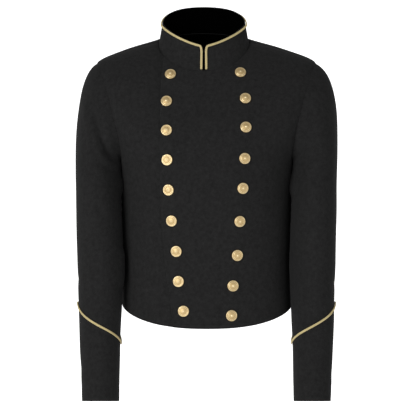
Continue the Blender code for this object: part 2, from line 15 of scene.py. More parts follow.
import bpy
import numpy as np
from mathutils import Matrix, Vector

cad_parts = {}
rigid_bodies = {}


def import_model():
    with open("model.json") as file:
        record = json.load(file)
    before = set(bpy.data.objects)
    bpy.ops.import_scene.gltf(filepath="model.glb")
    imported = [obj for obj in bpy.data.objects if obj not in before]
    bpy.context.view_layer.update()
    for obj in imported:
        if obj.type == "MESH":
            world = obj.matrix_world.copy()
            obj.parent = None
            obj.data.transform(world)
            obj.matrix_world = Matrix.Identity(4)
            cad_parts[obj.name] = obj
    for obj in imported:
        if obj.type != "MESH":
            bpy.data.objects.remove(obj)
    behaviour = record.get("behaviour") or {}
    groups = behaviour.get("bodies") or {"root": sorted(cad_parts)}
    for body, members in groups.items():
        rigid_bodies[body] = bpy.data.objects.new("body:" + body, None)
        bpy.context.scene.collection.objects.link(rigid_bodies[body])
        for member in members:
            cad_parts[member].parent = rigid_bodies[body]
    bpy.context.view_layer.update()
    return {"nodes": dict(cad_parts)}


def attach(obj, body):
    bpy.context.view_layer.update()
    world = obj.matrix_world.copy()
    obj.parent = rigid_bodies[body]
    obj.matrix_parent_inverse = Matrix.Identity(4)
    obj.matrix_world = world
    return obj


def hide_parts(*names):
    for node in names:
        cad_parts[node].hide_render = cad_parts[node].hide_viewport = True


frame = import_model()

LOG = logging.getLogger("jacket")
MM = 0.001
BODY = "root"
Grid = np.ndarray
Surface = Callable[[Grid, Grid], Grid]


class Side(Enum):
    """The wearer's left or right, by the sign of X there."""

    LEFT = 1.0
    RIGHT = -1.0

    @property
    def word(self) -> str:
        """The side's name as it stands in node names."""
        return self.name.lower()


class View(Enum):
    """The direction from which a crease is laid out."""

    FRONT = "front"
    BACK = "back"
    OUTER = "outer"
    INNER = "inner"


class Slot(Enum):
    """The record's material slots."""

    WOOL = "wool"
    CORD = "gold_cord"
    BRASS = "brass"


def eased(values: Grid) -> Grid:
    """0 to 1 with level ends."""
    values = np.clip(values, 0.0, 1.0)
    return values * values * (3.0 - 2.0 * values)


def unit(vectors: Grid) -> Grid:
    """The vectors at length 1."""
    return vectors / np.maximum(np.linalg.norm(vectors, axis=-1, keepdims=True), 1e-12)


def through(keys: Sequence[float], values: Sequence[float], at: Grid) -> Grid:
    """A smooth curve through a table's column that never swings past its rows.

    Args:
        keys: where each row stands, rising.
        values: the column.
        at: where the curve is wanted.

    Returns:
        The curve's values.
    """
    keys, values = np.asarray(keys, float), np.asarray(values, float)
    spans = np.diff(keys)
    slopes = np.diff(values) / spans
    before, after = slopes[:-1], slopes[1:]
    steady = before * after > 0
    w0, w1 = 2 * spans[1:] + spans[:-1], spans[1:] + 2 * spans[:-1]
    mean = (w0 + w1) / (w0 / np.where(steady, before, 1.0) + w1 / np.where(steady, after, 1.0))
    tangents = np.concatenate([slopes[:1], np.where(steady, mean, 0.0), slopes[-1:]])
    at = np.asarray(at, float)
    row = np.clip(np.searchsorted(keys, at, side="right") - 1, 0, len(spans) - 1)
    h = spans[row]
    t = (at - keys[row]) / h
    return (
        values[row] * (1 + 2 * t) * (1 - t) ** 2
        + tangents[row] * h * t * (1 - t) ** 2
        + values[row + 1] * t * t * (3 - 2 * t)
        + tangents[row + 1] * h * t * t * (t - 1)
    )


def length_along(line: Grid) -> Grid:
    """The distance along a line of points at each of them."""
    return np.concatenate([[0.0], np.cumsum(np.linalg.norm(np.diff(line, axis=0), axis=1))])


def normals_of(surface: Surface, u: Grid, v: Grid, du: float, dv: float) -> Grid:
    """Unit normals of a surface, from small steps in its two directions.

    Args:
        surface: gives points for two arrays.
        u: the first direction's values.
        v: the second direction's values, from 0 up.
        du: the step in u.
        dv: the step in v.

    Returns:
        A normal for each point.
    """
    along_u = surface(u + du, v) - surface(u - du, v)
    along_v = surface(u, v + dv) - surface(u, np.maximum(v - dv, 0.0))
    return unit(np.cross(along_u, along_v))


def distance_to(points: Grid, line: Grid) -> Grid:
    """The distance from each point to the nearest point of a finely spaced line."""
    flat = points.reshape(-1, 3)
    nearest = np.full(len(flat), np.inf)
    for start in range(0, len(line), 64):
        gaps = flat[:, None, :] - line[None, start : start + 64, :]
        nearest = np.minimum(nearest, np.sqrt((gaps**2).sum(axis=2).min(axis=1)))
    return nearest.reshape(points.shape[:-1])


@dataclass(frozen=True)
class Crease:
    """A soft trough, or with its depth below zero a ridge, laid out in one view."""

    view: View
    u0: float
    z0: float
    u1: float
    z1: float
    bow: float
    width: float
    depth: float

    def sink(self, points: Grid, normals: Grid, side: float) -> Grid:
        """How far each point sinks along its normal.

        Args:
            points: the cloth's points.
            normals: their unit normals.
            side: the sign of X on a sleeve's outer side.

        Returns:
            The depth at each point.
        """
        if self.view in (View.OUTER, View.INNER):
            across_view = points[..., 1]
            facing = normals[..., 0] * (side if self.view is View.OUTER else -side)
        else:
            across_view = points[..., 0]
            facing = -normals[..., 1] if self.view is View.FRONT else normals[..., 1]
        du, dz = self.u1 - self.u0, self.z1 - self.z0
        length = math.hypot(du, dz)
        ru, rz = across_view - self.u0, points[..., 2] - self.z0
        along = (ru * du + rz * dz) / length**2
        inside = np.clip(along, 0.0, 1.0)
        across = (ru * dz - rz * du) / length - self.bow * 4 * inside * (1 - inside)
        past = (along - inside) * length
        ends = eased(1.2 * np.sin(math.pi * np.clip(along, 0.02, 0.98)) + 0.1)
        return self.depth * eased(facing / 0.4) * ends * np.exp(-(across**2 + past**2) / self.width**2)


@dataclass(frozen=True)
class Girth:
    """One girth line of the body: the heights and reaches of its side, front and back."""

    side_z: float
    half_width: float
    side_y: float
    front_y: float
    front_z: float
    back_y: float
    back_z: float
    front_round: float
    back_round: float
    centre_x: float


@dataclass(frozen=True)
class Ring:
    """One ring of a sleeve, laid out for the wearer's left arm."""

    z: float
    centre_x: float
    centre_y: float
    half_width: float
    half_depth: float
    lean_out: float
    lean_front: float


@dataclass(frozen=True)
class Edge:
    """How far across the two front edges stand at one height."""

    z: float
    lap_x: float
    under_x: float


GIRTHS = (
    Girth(-6, 87, 0, -66, -62, 40, 16, 2.10, 2.10, -5),
    Girth(-9, 104, 0, -71, -73, 50, 4, 2.10, 2.10, -4),
    Girth(-25, 165, 0, -79, -92, 72, -30, 2.15, 2.15, -2),
    Girth(-46, 213, 0, -87, -112, 89, -75, 2.20, 2.20, 0),
    Girth(-78, 229, 1, -97, -136, 97, -100, 2.25, 2.25, 0),
    Girth(-112, 224, 2, -107, -162, 103, -128, 2.30, 2.30, 0),
    Girth(-150, 208, 3, -117, -193, 108, -160, 2.30, 2.30, 0),
    Girth(-190, 188, 4, -124, -227, 111, -195, 2.30, 2.30, 0),
    Girth(-228, 172, 5, -128, -258, 113, -230, 2.30, 2.30, 0),
    Girth(-260, 168, 6, -129, -286, 113, -262, 2.30, 2.30, 0),
    Girth(-310, 166.3, 6, -127, -330, 110, -312, 2.30, 2.30, 0),
    Girth(-370, 166, 6, -123, -386, 106, -372, 2.30, 2.30, 0),
    Girth(-430, 165.6, 6, -120, -446, 104, -433, 2.35, 2.30, 0.2),
    Girth(-480, 166, 6, -121, -502, 106, -486, 2.40, 2.30, 0.6),
    Girth(-514, 166.5, 6, -123, -550.5, 109, -524, 2.45, 2.30, 1.5),
)
TIP_ROW = 3
COLLAR_TOP = Girth(29, 80, -17, -60, -15, 27, 65, 1.40, 2.20, -5)

SLEEVE_RINGS = (
    Ring(-262, 209.0, -28, 43.4, 70.0, 0.35, 0.00),
    Ring(-295, 207.7, -38, 43.3, 67.5, 0.25, 0.02),
    Ring(-328, 206.7, -43, 43.8, 65.0, 0.15, 0.04),
    Ring(-360, 205.8, -46, 44.0, 62.0, 0.08, 0.05),
    Ring(-392, 205.0, -48, 44.0, 59.5, 0.04, 0.07),
    Ring(-425, 204.2, -50, 44.0, 57.0, 0.02, 0.09),
    Ring(-460, 203.7, -52, 43.3, 54.5, 0.00, 0.10),
    Ring(-498, 203.6, -55, 42.2, 51.8, 0.00, 0.12),
    Ring(-536, 203.9, -58, 40.9, 49.5, 0.00, 0.13),
    Ring(-574, 204.1, -62, 39.3, 47.8, 0.00, 0.14),
    Ring(-612, 203.5, -67, 38.0, 46.2, 0.00, 0.14),
    Ring(-652, 202.7, -73, 36.7, 44.6, 0.00, 0.15),
    Ring(-694, 202.0, -79, 35.5, 43.0, 0.00, 0.16),
)

EDGES = (
    Edge(-30, -79, 70),
    Edge(-60, -85, 74),
    Edge(-91, -87, 76),
    Edge(-177, -88, 74),
    Edge(-289, -87.5, 68),
    Edge(-330, -86, 65),
    Edge(-416, -79.5, 58),
    Edge(-457, -75, 54),
    Edge(-498, -68.5, 50),
    Edge(-549, -63, 48),
)

FRONT, BACK, OUTER, INNER = View
BODY_CREASES = (
    Crease(FRONT, -152, -370, -147, -500, 3, 11, 2.2),
    Crease(FRONT, 150, -380, 147, -505, -3, 12, 1.8),
    Crease(FRONT, -150, -255, -118, -330, 5, 14, 1.8),
    Crease(FRONT, 152, -262, 120, -345, -5, 14, 1.6),
    Crease(BACK, -150, -215, -95, -330, 8, 16, 2.4),
    Crease(BACK, 150, -225, 100, -350, -8, 16, 2.2),
    Crease(BACK, -60, -395, 55, -402, 6, 16, 1.8),
    Crease(BACK, -20, -100, 15, -260, 4, 20, 1.6),
)
FINE_BODY_CREASES = (
    Crease(FRONT, -66, -53, -31, -67, -3, 2.6, 0.9),
    Crease(FRONT, 64, -51, 35, -65, 3, 2.8, 0.7),
    Crease(FRONT, -45, -116, -12, -126, -2, 4, 0.7),
    Crease(FRONT, -10, -126, 14, -126, -1, 4, 0.6),
    Crease(FRONT, -48, -108, -32, -138, 2, 6, 0.8),
    Crease(FRONT, -168, -120, -150, -210, 4, 9, 0.9),
    Crease(FRONT, 170, -120, 154, -205, -4, 10, 0.7),
    Crease(FRONT, -120, -150, -96, -215, 3, 12, 0.5),
    Crease(FRONT, 110, -160, 96, -240, -3, 13, 0.5),
    Crease(FRONT, -156, -400, -151, -455, 1, 4, 0.9),
    Crease(FRONT, 120, -420, 150, -455, 2, 7, 0.6),
    Crease(FRONT, -126, -455, -104, -520, -2, 9, 0.6),
    Crease(FRONT, 96, -450, 110, -530, 3, 10, 0.6),
    Crease(FRONT, -20, -300, 22, -308, 2, 12, 0.35),
    Crease(FRONT, -24, -420, 28, -414, -2, 10, 0.35),
    Crease(BACK, -120, -130, -70, -190, 5, 10, 0.9),
    Crease(BACK, 122, -135, 76, -205, -5, 11, 0.8),
    Crease(BACK, -140, -300, -60, -372, 6, 9, 0.9),
    Crease(BACK, 136, -312, 52, -380, -6, 10, 0.8),
    Crease(BACK, -110, -420, -30, -414, 3, 7, 0.8),
    Crease(BACK, 34, -428, 118, -420, -3, 8, 0.7),
    Crease(BACK, -86, -448, -70, -515, 3, 12, 0.7),
    Crease(BACK, 62, -452, 80, -518, -3, 13, 0.7),
    Crease(BACK, -34, -52, 22, -60, 4, 9, 0.7),
)
SLEEVE_CREASES = {
    Side.RIGHT: (
        Crease(FRONT, -216, -126, -168, -243, 7, 7.5, 7.0),
        Crease(FRONT, -236, -116, -214, -226, 2, 6, -2.0),
        Crease(FRONT, -210, -230, -172, -256, 2, 6, 2.4),
        Crease(FRONT, -204, -318, -188, -346, 2, 6, 2.4),
        Crease(FRONT, -172, -395, -222, -430, 3, 12, 2.2),
        Crease(BACK, -196, -150, -174, -280, -8, 13, 4.0),
        Crease(BACK, -178, -385, -232, -410, 4, 13, 3.2),
        Crease(BACK, -180, -440, -228, -425, 3, 12, 2.4),
        Crease(INNER, -42, -218, -40, -306, 0, 20, -7.0),
        Crease(INNER, -62, -395, -68, -480, 0, 19, -5.0),
    ),
    Side.LEFT: (
        Crease(FRONT, 196, -140, 172, -250, -8, 12, 3.0),
        Crease(FRONT, 172, -400, 224, -425, 3, 13, 1.8),
        Crease(FRONT, 176, -590, 222, -604, 2, 11, 1.5),
        Crease(BACK, 198, -150, 176, -285, 8, 13, 4.0),
        Crease(BACK, 180, -392, 230, -412, 4, 13, 3.0),
        Crease(BACK, 180, -448, 226, -430, 3, 12, 2.2),
        Crease(INNER, -42, -218, -40, -310, 0, 20, -7.0),
        Crease(INNER, -60, -340, -66, -470, 0, 16, -1.6),
    ),
}
FINE_SLEEVE_CREASES = {
    Side.RIGHT: (
        Crease(FRONT, -216, -150, -184, -236, 5, 5, 1.2),
        Crease(FRONT, -204, -214, -176, -232, 1, 4, 1.1),
        Crease(FRONT, -226, -250, -196, -300, 4, 9, 0.8),
        Crease(FRONT, -224, -372, -186, -392, 2, 8, 0.9),
        Crease(FRONT, -176, -470, -216, -494, 2, 9, 0.8),
        Crease(FRONT, -222, -640, -180, -652, 2, 10, 0.6),
        Crease(BACK, -226, -330, -184, -352, 3, 8, 1.2),
        Crease(BACK, -182, -476, -222, -500, -3, 10, 1.0),
        Crease(BACK, -186, -560, -220, -590, 3, 10, 0.8),
        Crease(OUTER, -48, -400, 34, -372, 5, 9, 1.0),
        Crease(OUTER, -40, -250, 30, -236, 4, 10, 0.8),
        Crease(OUTER, -84, -470, -6, -432, 4, 9, 1.1),
        Crease(OUTER, -96, -640, -30, -600, 4, 11, 0.7),
    ),
    Side.LEFT: (
        Crease(FRONT, 214, -170, 188, -244, -5, 6, 0.9),
        Crease(FRONT, 224, -330, 190, -352, -2, 9, 0.8),
        Crease(FRONT, 180, -476, 218, -496, 2, 9, 0.7),
        Crease(FRONT, 178, -652, 214, -664, 1, 8, 0.6),
        Crease(FRONT, 226, -520, 196, -548, -2, 10, 0.6),
        Crease(BACK, 228, -336, 186, -358, -3, 8, 1.2),
        Crease(BACK, 184, -482, 224, -508, 3, 10, 1.0),
        Crease(BACK, 188, -570, 220, -598, -3, 10, 0.8),
        Crease(OUTER, -44, -412, 30, -386, 5, 9, 1.0),
        Crease(OUTER, -30, -262, 34, -244, 4, 10, 0.8),
        Crease(OUTER, -88, -480, -10, -446, 4, 9, 1.0),
        Crease(OUTER, -98, -650, -34, -612, 4, 11, 0.7),
    ),
}


def along_table(rows: Sequence[object], keys: Sequence[float], at: Grid) -> dict[str, Grid]:
    """Every column of a table of rows, smoothly between its rows.

    Args:
        rows: dataclass rows of one kind.
        keys: where each row stands.
        at: where the values are wanted.

    Returns:
        An array for each of the rows' fields.
    """
    return {f.name: through(keys, [getattr(row, f.name) for row in rows], at) for f in fields(rows[0])}


@dataclass(frozen=True)
class BodyForm:
    """The outer face of the cloth on the trunk, and the armholes cut in it."""

    girths: tuple[Girth, ...] = GIRTHS
    creases: tuple[Crease, ...] = BODY_CREASES + FINE_BODY_CREASES
    hole_top: float = -46.0
    hole_bottom: float = -250.0
    hole_front: float = 74.0
    hole_back: float = 62.0
    hole_narrowing: float = 0.20
    tip_step: float = 0.02
    ripple: float = 0.35

    @property
    def downs(self) -> Grid:
        """How far down each girth line is."""
        rows = self.girths
        steps = [math.hypot(b.half_width - a.half_width, b.side_z - a.side_z) for a, b in zip(rows, rows[1:])]
        return np.concatenate([[0.0], np.cumsum(steps)])

    @property
    def hem(self) -> float:
        """How far down the hem is."""
        return float(self.downs[-1])

    @property
    def tip(self) -> float:
        """How far down the shoulder's tip is."""
        return float(self.downs[TIP_ROW])

    @staticmethod
    def on_line(line: dict[str, Grid], angle: Grid) -> Grid:
        """The points of a girth line at these angles.

        Args:
            line: the girth line's sizes.
            angle: the angles, in radians.

        Returns:
            The points.
        """
        c, s = np.cos(angle), np.sin(angle)
        front, back = line["side_y"] - line["front_y"], line["back_y"] - line["side_y"]
        depth = np.where(s < 0, front, back)
        n = np.where(s < 0, line["front_round"], line["back_round"])
        reach = ((np.abs(c) / line["half_width"]) ** n + (np.abs(s) / depth) ** n) ** (-1.0 / n)
        rise_front, rise_back = line["front_z"] - line["side_z"], line["back_z"] - line["side_z"]
        bend = (rise_back / back + rise_front / front) / (front + back)
        tilt = rise_back / back - bend * back
        dy = reach * s
        z = line["side_z"] + tilt * dy + bend * dy * dy
        return np.stack(np.broadcast_arrays(line["centre_x"] + reach * c, line["side_y"] + dy, z), axis=-1)

    def line_at(self, down: Grid) -> dict[str, Grid]:
        """The girth line at this distance down."""
        return along_table(self.girths, self.downs, down)

    def plain(self, angle: Grid, down: Grid) -> Grid:
        """The face with no creases."""
        return self.on_line(self.line_at(down), angle)

    def outer(self, angle: Grid, down: Grid) -> Grid:
        """The face with its creases and the slight unevenness of worn cloth."""
        down = np.clip(down, 0.0, self.hem)
        points = self.plain(angle, down)
        normals = -normals_of(self.plain, angle, down, 0.002, 0.5)
        sunk = sum(crease.sink(points, normals, 1.0) for crease in self.creases)
        sunk = sunk + self.ripple * np.sin(points[..., 0] / 23.0 + 2.1 * np.sin(points[..., 2] / 61.0)) * np.sin(
            points[..., 2] / 37.0 + points[..., 1] / 41.0
        )
        return points - normals * (sunk * eased((down - 20.0) / 60.0))[..., None]

    def normals(self, angle: Grid, down: Grid) -> Grid:
        """Unit normals of the face, pointing out of the cloth."""
        return -normals_of(self.outer, angle, down, 0.004, 1.0)

    @staticmethod
    def edge_x(z: Grid, name: str) -> Grid:
        """How far across a front edge stands at these heights."""
        keys = [-row.z for row in EDGES]
        return through(keys, [getattr(row, name) for row in EDGES], np.clip(-z, keys[0], keys[-1]))

    def edge_angles(self, down: Grid, name: str) -> Grid:
        """The girth angle of a front edge at each distance down."""
        tries = np.radians(np.linspace(-178.0, -2.0, 353))
        found = []
        for each in down:
            points = self.plain(tries, np.full(tries.shape, each))
            off = points[:, 0] - self.edge_x(points[:, 2], name)
            i = int(np.argmax(off > 0))
            share = off[i - 1] / (off[i - 1] - off[i])
            found.append(tries[i - 1] + share * (tries[i] - tries[i - 1]))
        return np.array(found)

    def at_side(self, y: float, z: float, side: Side) -> tuple[float, float]:
        """The angle and distance down of the face at this depth and height, on one side."""
        downs = np.linspace(self.tip * 0.6, self.hem, 900)
        line = self.line_at(downs)
        front, back = line["side_y"] - line["front_y"], line["back_y"] - line["side_y"]
        rise_front, rise_back = line["front_z"] - line["side_z"], line["back_z"] - line["side_z"]
        bend = (rise_back / back + rise_front / front) / (front + back)
        tilt = rise_back / back - bend * back
        dy = y - line["side_y"]
        down = float(np.interp(-z, -(line["side_z"] + tilt * dy + bend * dy * dy), downs))
        at = self.line_at(np.array(down))
        dy = y - float(at["side_y"])
        depth = float(at["side_y"] - at["front_y"] if dy < 0 else at["back_y"] - at["side_y"])
        n = float(at["front_round"] if dy < 0 else at["back_round"])
        dx = float(at["half_width"]) * max(1.0 - (abs(dy) / depth) ** n, 0.0) ** (1.0 / n)
        return math.atan2(dy, side.value * dx), down

    def armhole(self, side: Side) -> tuple[Grid, Grid, float]:
        """The armhole from its tip, down the front and up the back.

        Args:
            side: the wearer's side.

        Returns:
            Its angles and distances down, the distance along it at each, and that distance at its
            lowest point.
        """
        turn = np.linspace(0.0, 2 * math.pi, 481)
        middle, half = (self.hole_top + self.hole_bottom) / 2, (self.hole_top - self.hole_bottom) / 2
        reach = np.where(np.sin(turn) >= 0, self.hole_front, self.hole_back)
        y = -reach * np.sin(turn) * (1 - self.hole_narrowing * np.cos(turn)) + 2.5 * (1 - np.cos(turn))
        place = np.array([self.at_side(a, b, side) for a, b in zip(y, middle + half * np.cos(turn))])
        line = 0.0 if side is Side.LEFT else math.pi
        place[:, 0] = line + (place[:, 0] - line + math.pi) % (2 * math.pi) - math.pi
        away = np.minimum(np.arange(len(place)), np.arange(len(place))[::-1])
        place[:, 1] = np.maximum(place[:, 1], self.tip + self.tip_step * away)
        place[0] = place[-1] = (line, self.tip)
        run = length_along(self.plain(place[:, 0], place[:, 1]))
        return place, run, float(run[int(np.argmax(place[:, 1]))])


@dataclass(frozen=True)
class SleeveForm:
    """The outer face of a sleeve, from the armhole over its head and down the arm."""

    side: Side
    swell: float
    body: BodyForm = field(default_factory=BodyForm)
    rings: tuple[Ring, ...] = SLEEVE_RINGS
    head_rows: float = 8.0
    ripple: float = 0.3
    seam_depth: float = 1.5

    def __post_init__(self) -> None:
        """Keeps the armhole, which every point of the head needs."""
        object.__setattr__(self, "hole", self.body.armhole(self.side))

    @property
    def last_row(self) -> float:
        """The row of the cuff's edge."""
        return self.head_rows + len(self.rings) - 1.0

    def ring(self, turn: Grid, row: Grid) -> Grid:
        """Points of the arm below the head, by turn from the outer middle and ring number."""
        keys = np.arange(len(self.rings), dtype=float)
        at = along_table(self.rings, keys, np.clip(row, 0.0, keys[-1]))
        dx, dy = at["half_width"] * np.cos(turn), -at["half_depth"] * np.sin(turn)
        z = at["z"] + at["lean_out"] * dx - at["lean_front"] * dy
        x = self.side.value * (at["centre_x"] + dx)
        return np.stack(np.broadcast_arrays(x, at["centre_y"] + dy, z), axis=-1)

    def seam(self, turn: Grid) -> Grid:
        """Points of the armhole seam, on the body's own face."""
        place, run, low = self.hole
        turn = np.mod(turn, 2 * math.pi)
        along = np.interp(turn, [0.0, math.pi, 2 * math.pi], [0.0, low, run[-1]])
        angle, down = np.interp(along, run, place[:, 0]), np.interp(along, run, place[:, 1])
        return self.body.outer(angle, down) - self.seam_depth * self.body.normals(angle, down)

    def plain(self, turn: Grid, row: Grid) -> Grid:
        """The face with no creases: rows 0 to head_rows cross the head, the rest follow the rings."""
        start, end = self.seam(turn), self.ring(turn, np.zeros_like(row))
        span = np.linalg.norm(end - start, axis=-1, keepdims=True) * self.swell
        lift = -0.25 * (1 + np.cos(turn))
        away = unit(np.stack([np.full_like(turn, self.side.value), -0.18 * np.sin(turn), lift], axis=-1))
        fall = unit(self.ring(turn, np.full_like(row, 0.6)) - end)
        t = np.clip(row / self.head_rows, 0.0, 1.0)[..., None]
        head = (
            start * (1 + 2 * t) * (1 - t) ** 2
            + away * span * 0.8 * t * (1 - t) ** 2
            + end * t * t * (3 - 2 * t)
            + fall * span * t * t * (t - 1)
        )
        tube = self.ring(turn, np.maximum(row - self.head_rows, 0.0))
        return np.where(row[..., None] <= self.head_rows, head, tube)

    def outer(self, turn: Grid, row: Grid) -> Grid:
        """The face with its creases and slight unevenness."""
        turn, row = (np.array(a, float) for a in np.broadcast_arrays(turn, row))
        row = np.clip(row, 0.0, self.last_row)
        points = self.plain(turn, row)
        normals = self.side.value * normals_of(self.plain, turn, row, 0.01, 0.02)
        creases = SLEEVE_CREASES[self.side] + FINE_SLEEVE_CREASES[self.side]
        sunk = sum(crease.sink(points, normals, self.side.value) for crease in creases)
        sunk = sunk + self.ripple * np.sin(points[..., 2] / 29.0 + 1.7 * self.side.value) * np.sin(
            points[..., 1] / 17.0 + points[..., 2] / 53.0
        )
        return points - normals * (sunk * eased(row / 2.5))[..., None]

    def normals(self, turn: Grid, row: Grid) -> Grid:
        """Unit normals of the face, pointing out of the cloth."""
        return self.side.value * normals_of(self.outer, turn, row, 0.012, 0.03)


@dataclass(frozen=True)
class CollarForm:
    """The outer face of the standing collar, ruled from the neck seam to its top edge."""

    low: Girth = GIRTHS[0]
    high: Girth = COLLAR_TOP
    gap_half: float = 2.1
    corner: float = 10.0
    foot: float = 2.2
    ripple: float = 0.25

    @staticmethod
    def sizes(row: Girth) -> dict[str, float]:
        """A girth row as the sizes that a girth line takes."""
        return {f.name: getattr(row, f.name) for f in fields(row)}

    def outer(self, angle: Grid, rise: Grid) -> Grid:
        """Points by girth angle and by the share of the height, 0 at the seam."""
        foot = BodyForm.on_line(self.sizes(self.low), angle)
        head = BodyForm.on_line(self.sizes(self.high), angle)
        return foot + rise[..., None] * (head - foot)

    def grid(self, columns: int, rows: int) -> tuple[Grid, Grid]:
        """The collar's points and normals, with its two top corners rounded.

        Args:
            columns: steps round the neck.
            rows: steps up the collar.

        Returns:
            The points and their normals, row 0 at the seam.
        """
        tries = np.linspace(-math.pi / 2, math.pi * 1.5, 4001)
        run = length_along(BodyForm.on_line(self.sizes(self.low), tries))
        ends = (self.gap_half, run[-1] - self.gap_half)
        near = self.corner * (1 - np.cos(np.linspace(0, math.pi / 2, 13)))
        middle = np.linspace(ends[0] + self.corner, ends[1] - self.corner, columns + 1)[1:-1]
        stops = np.concatenate([ends[0] + near, middle, (ends[1] - near)[::-1]])
        angles = np.interp(stops, run, tries)
        inset = np.clip(self.corner - np.minimum(stops - ends[0], ends[1] - stops), 0.0, self.corner)
        cut = self.corner - np.sqrt(self.corner**2 - inset**2)
        front = np.array([-math.pi / 2])
        height = float(np.linalg.norm(self.outer(front, np.ones(1)) - self.outer(front, np.zeros(1))))
        rise, angle = np.meshgrid(np.linspace(0, 1, rows + 1), angles, indexing="ij")
        rise = rise * (1.0 + (self.foot - cut) / height)[None, :] - self.foot / height
        points = self.outer(angle, rise)
        across = self.outer(angle + 0.002, rise) - self.outer(angle - 0.002, rise)
        up = self.outer(angle, rise + 0.01) - self.outer(angle, rise - 0.01)
        normals = unit(np.cross(across, up))
        wave = self.ripple * np.sin(angle * 9.0) * np.sin(math.pi * np.clip(rise, 0, 1))
        for crease in COLLAR_CREASES:
            wave = wave + crease.sink(points, normals, 1.0)
        return points - normals * wave[..., None], normals


COLLAR_CREASES = (
    Crease(FRONT, -88, -2, -76, -44, 1, 4, 0.9),
    Crease(FRONT, -74, 4, -66, -30, 1, 5, 0.6),
    Crease(FRONT, 74, -2, 82, -30, 0, 4, 0.8),
    Crease(BACK, -30, 40, -22, 22, 1, 7, 0.4),
    Crease(BACK, 20, 44, 28, 20, -1, 7, 0.4),
)


@dataclass(frozen=True)
class WoolFinish:
    """Felted black wool: a matt nap over a faint twill."""

    name: str = "black_wool"
    dark: tuple[float, float, float] = (0.0003, 0.0003, 0.0003)
    light: tuple[float, float, float] = (0.0240, 0.0240, 0.0240)
    roughness: float = 0.93
    sheen: float = 0.02
    specular: float = 0.06
    nap_mm: float = 2.2
    mottle_mm: float = 7.0
    twill_mm: float = 1.3
    bump_mm: float = 0.10

    def material(self) -> bpy.types.Material:
        """The finish as a material, made once."""
        found = bpy.data.materials.get(self.name)
        if found:
            return found
        material, nodes, link, shader = new_material(self.name)
        where = nodes.new("ShaderNodeTexCoord")
        nap = nodes.new("ShaderNodeGroup")
        nap.node_tree = nap_group()
        nap.inputs["Nap Scale"].default_value = 1.0 / (self.nap_mm * MM)
        nap.inputs["Mottle Scale"].default_value = 1.0 / (self.mottle_mm * MM)
        nap.inputs["Twill Scale"].default_value = 1.0 / (self.twill_mm * MM)
        nap.inputs["Dark"].default_value = (*self.dark, 1.0)
        nap.inputs["Light"].default_value = (*self.light, 1.0)
        link(where.outputs["Object"], nap.inputs["Object"])
        link(where.outputs["UV"], nap.inputs["Cloth"])
        link(nap.outputs["Colour"], shader.inputs["Base Color"])
        rough = nodes.new("ShaderNodeMapRange")
        rough.inputs["To Min"].default_value = self.roughness - 0.06
        rough.inputs["To Max"].default_value = self.roughness + 0.06
        link(nap.outputs["Fibre"], rough.inputs["Value"])
        link(rough.outputs["Result"], shader.inputs["Roughness"])
        add_bump(nodes, link, nap.outputs["Height"], shader, self.bump_mm * MM)
        shader.inputs["Sheen Weight"].default_value = self.sheen
        shader.inputs["Sheen Roughness"].default_value = 0.6
        shader.inputs["Specular IOR Level"].default_value = self.specular
        return material


@dataclass(frozen=True)
class CordFinish:
    """Bright gold thread wound round a core, painted darker where its threads lie low as painted shade in their
    grooves.
    """

    name: str = "gold_cord"
    # The first colour is painted shade for the grooves between the threads.
    deep: tuple[float, float, float] = (0.30, 0.21, 0.055)
    bright: tuple[float, float, float] = (0.80, 0.68, 0.34)
    roughness: float = 0.42
    metallic: float = 0.55
    threads: float = 9.0
    bump_mm: float = 0.12

    def material(self) -> bpy.types.Material:
        """The finish as a material, made once."""
        found = bpy.data.materials.get(self.name)
        if found:
            return found
        material, nodes, link, shader = new_material(self.name)
        where = nodes.new("ShaderNodeTexCoord")
        wound = nodes.new("ShaderNodeGroup")
        wound.node_tree = thread_group()
        wound.inputs["Threads"].default_value = self.threads
        wound.inputs["Deep"].default_value = (*self.deep, 1.0)
        wound.inputs["Bright"].default_value = (*self.bright, 1.0)
        link(where.outputs["UV"], wound.inputs["Along"])
        link(where.outputs["Object"], wound.inputs["Object"])
        link(wound.outputs["Colour"], shader.inputs["Base Color"])
        rough = nodes.new("ShaderNodeMapRange")
        rough.inputs["To Min"].default_value = self.roughness + 0.15
        rough.inputs["To Max"].default_value = self.roughness - 0.05
        link(wound.outputs["Height"], rough.inputs["Value"])
        link(rough.outputs["Result"], shader.inputs["Roughness"])
        add_bump(nodes, link, wound.outputs["Height"], shader, self.bump_mm * MM)
        shader.inputs["Metallic"].default_value = self.metallic
        return material


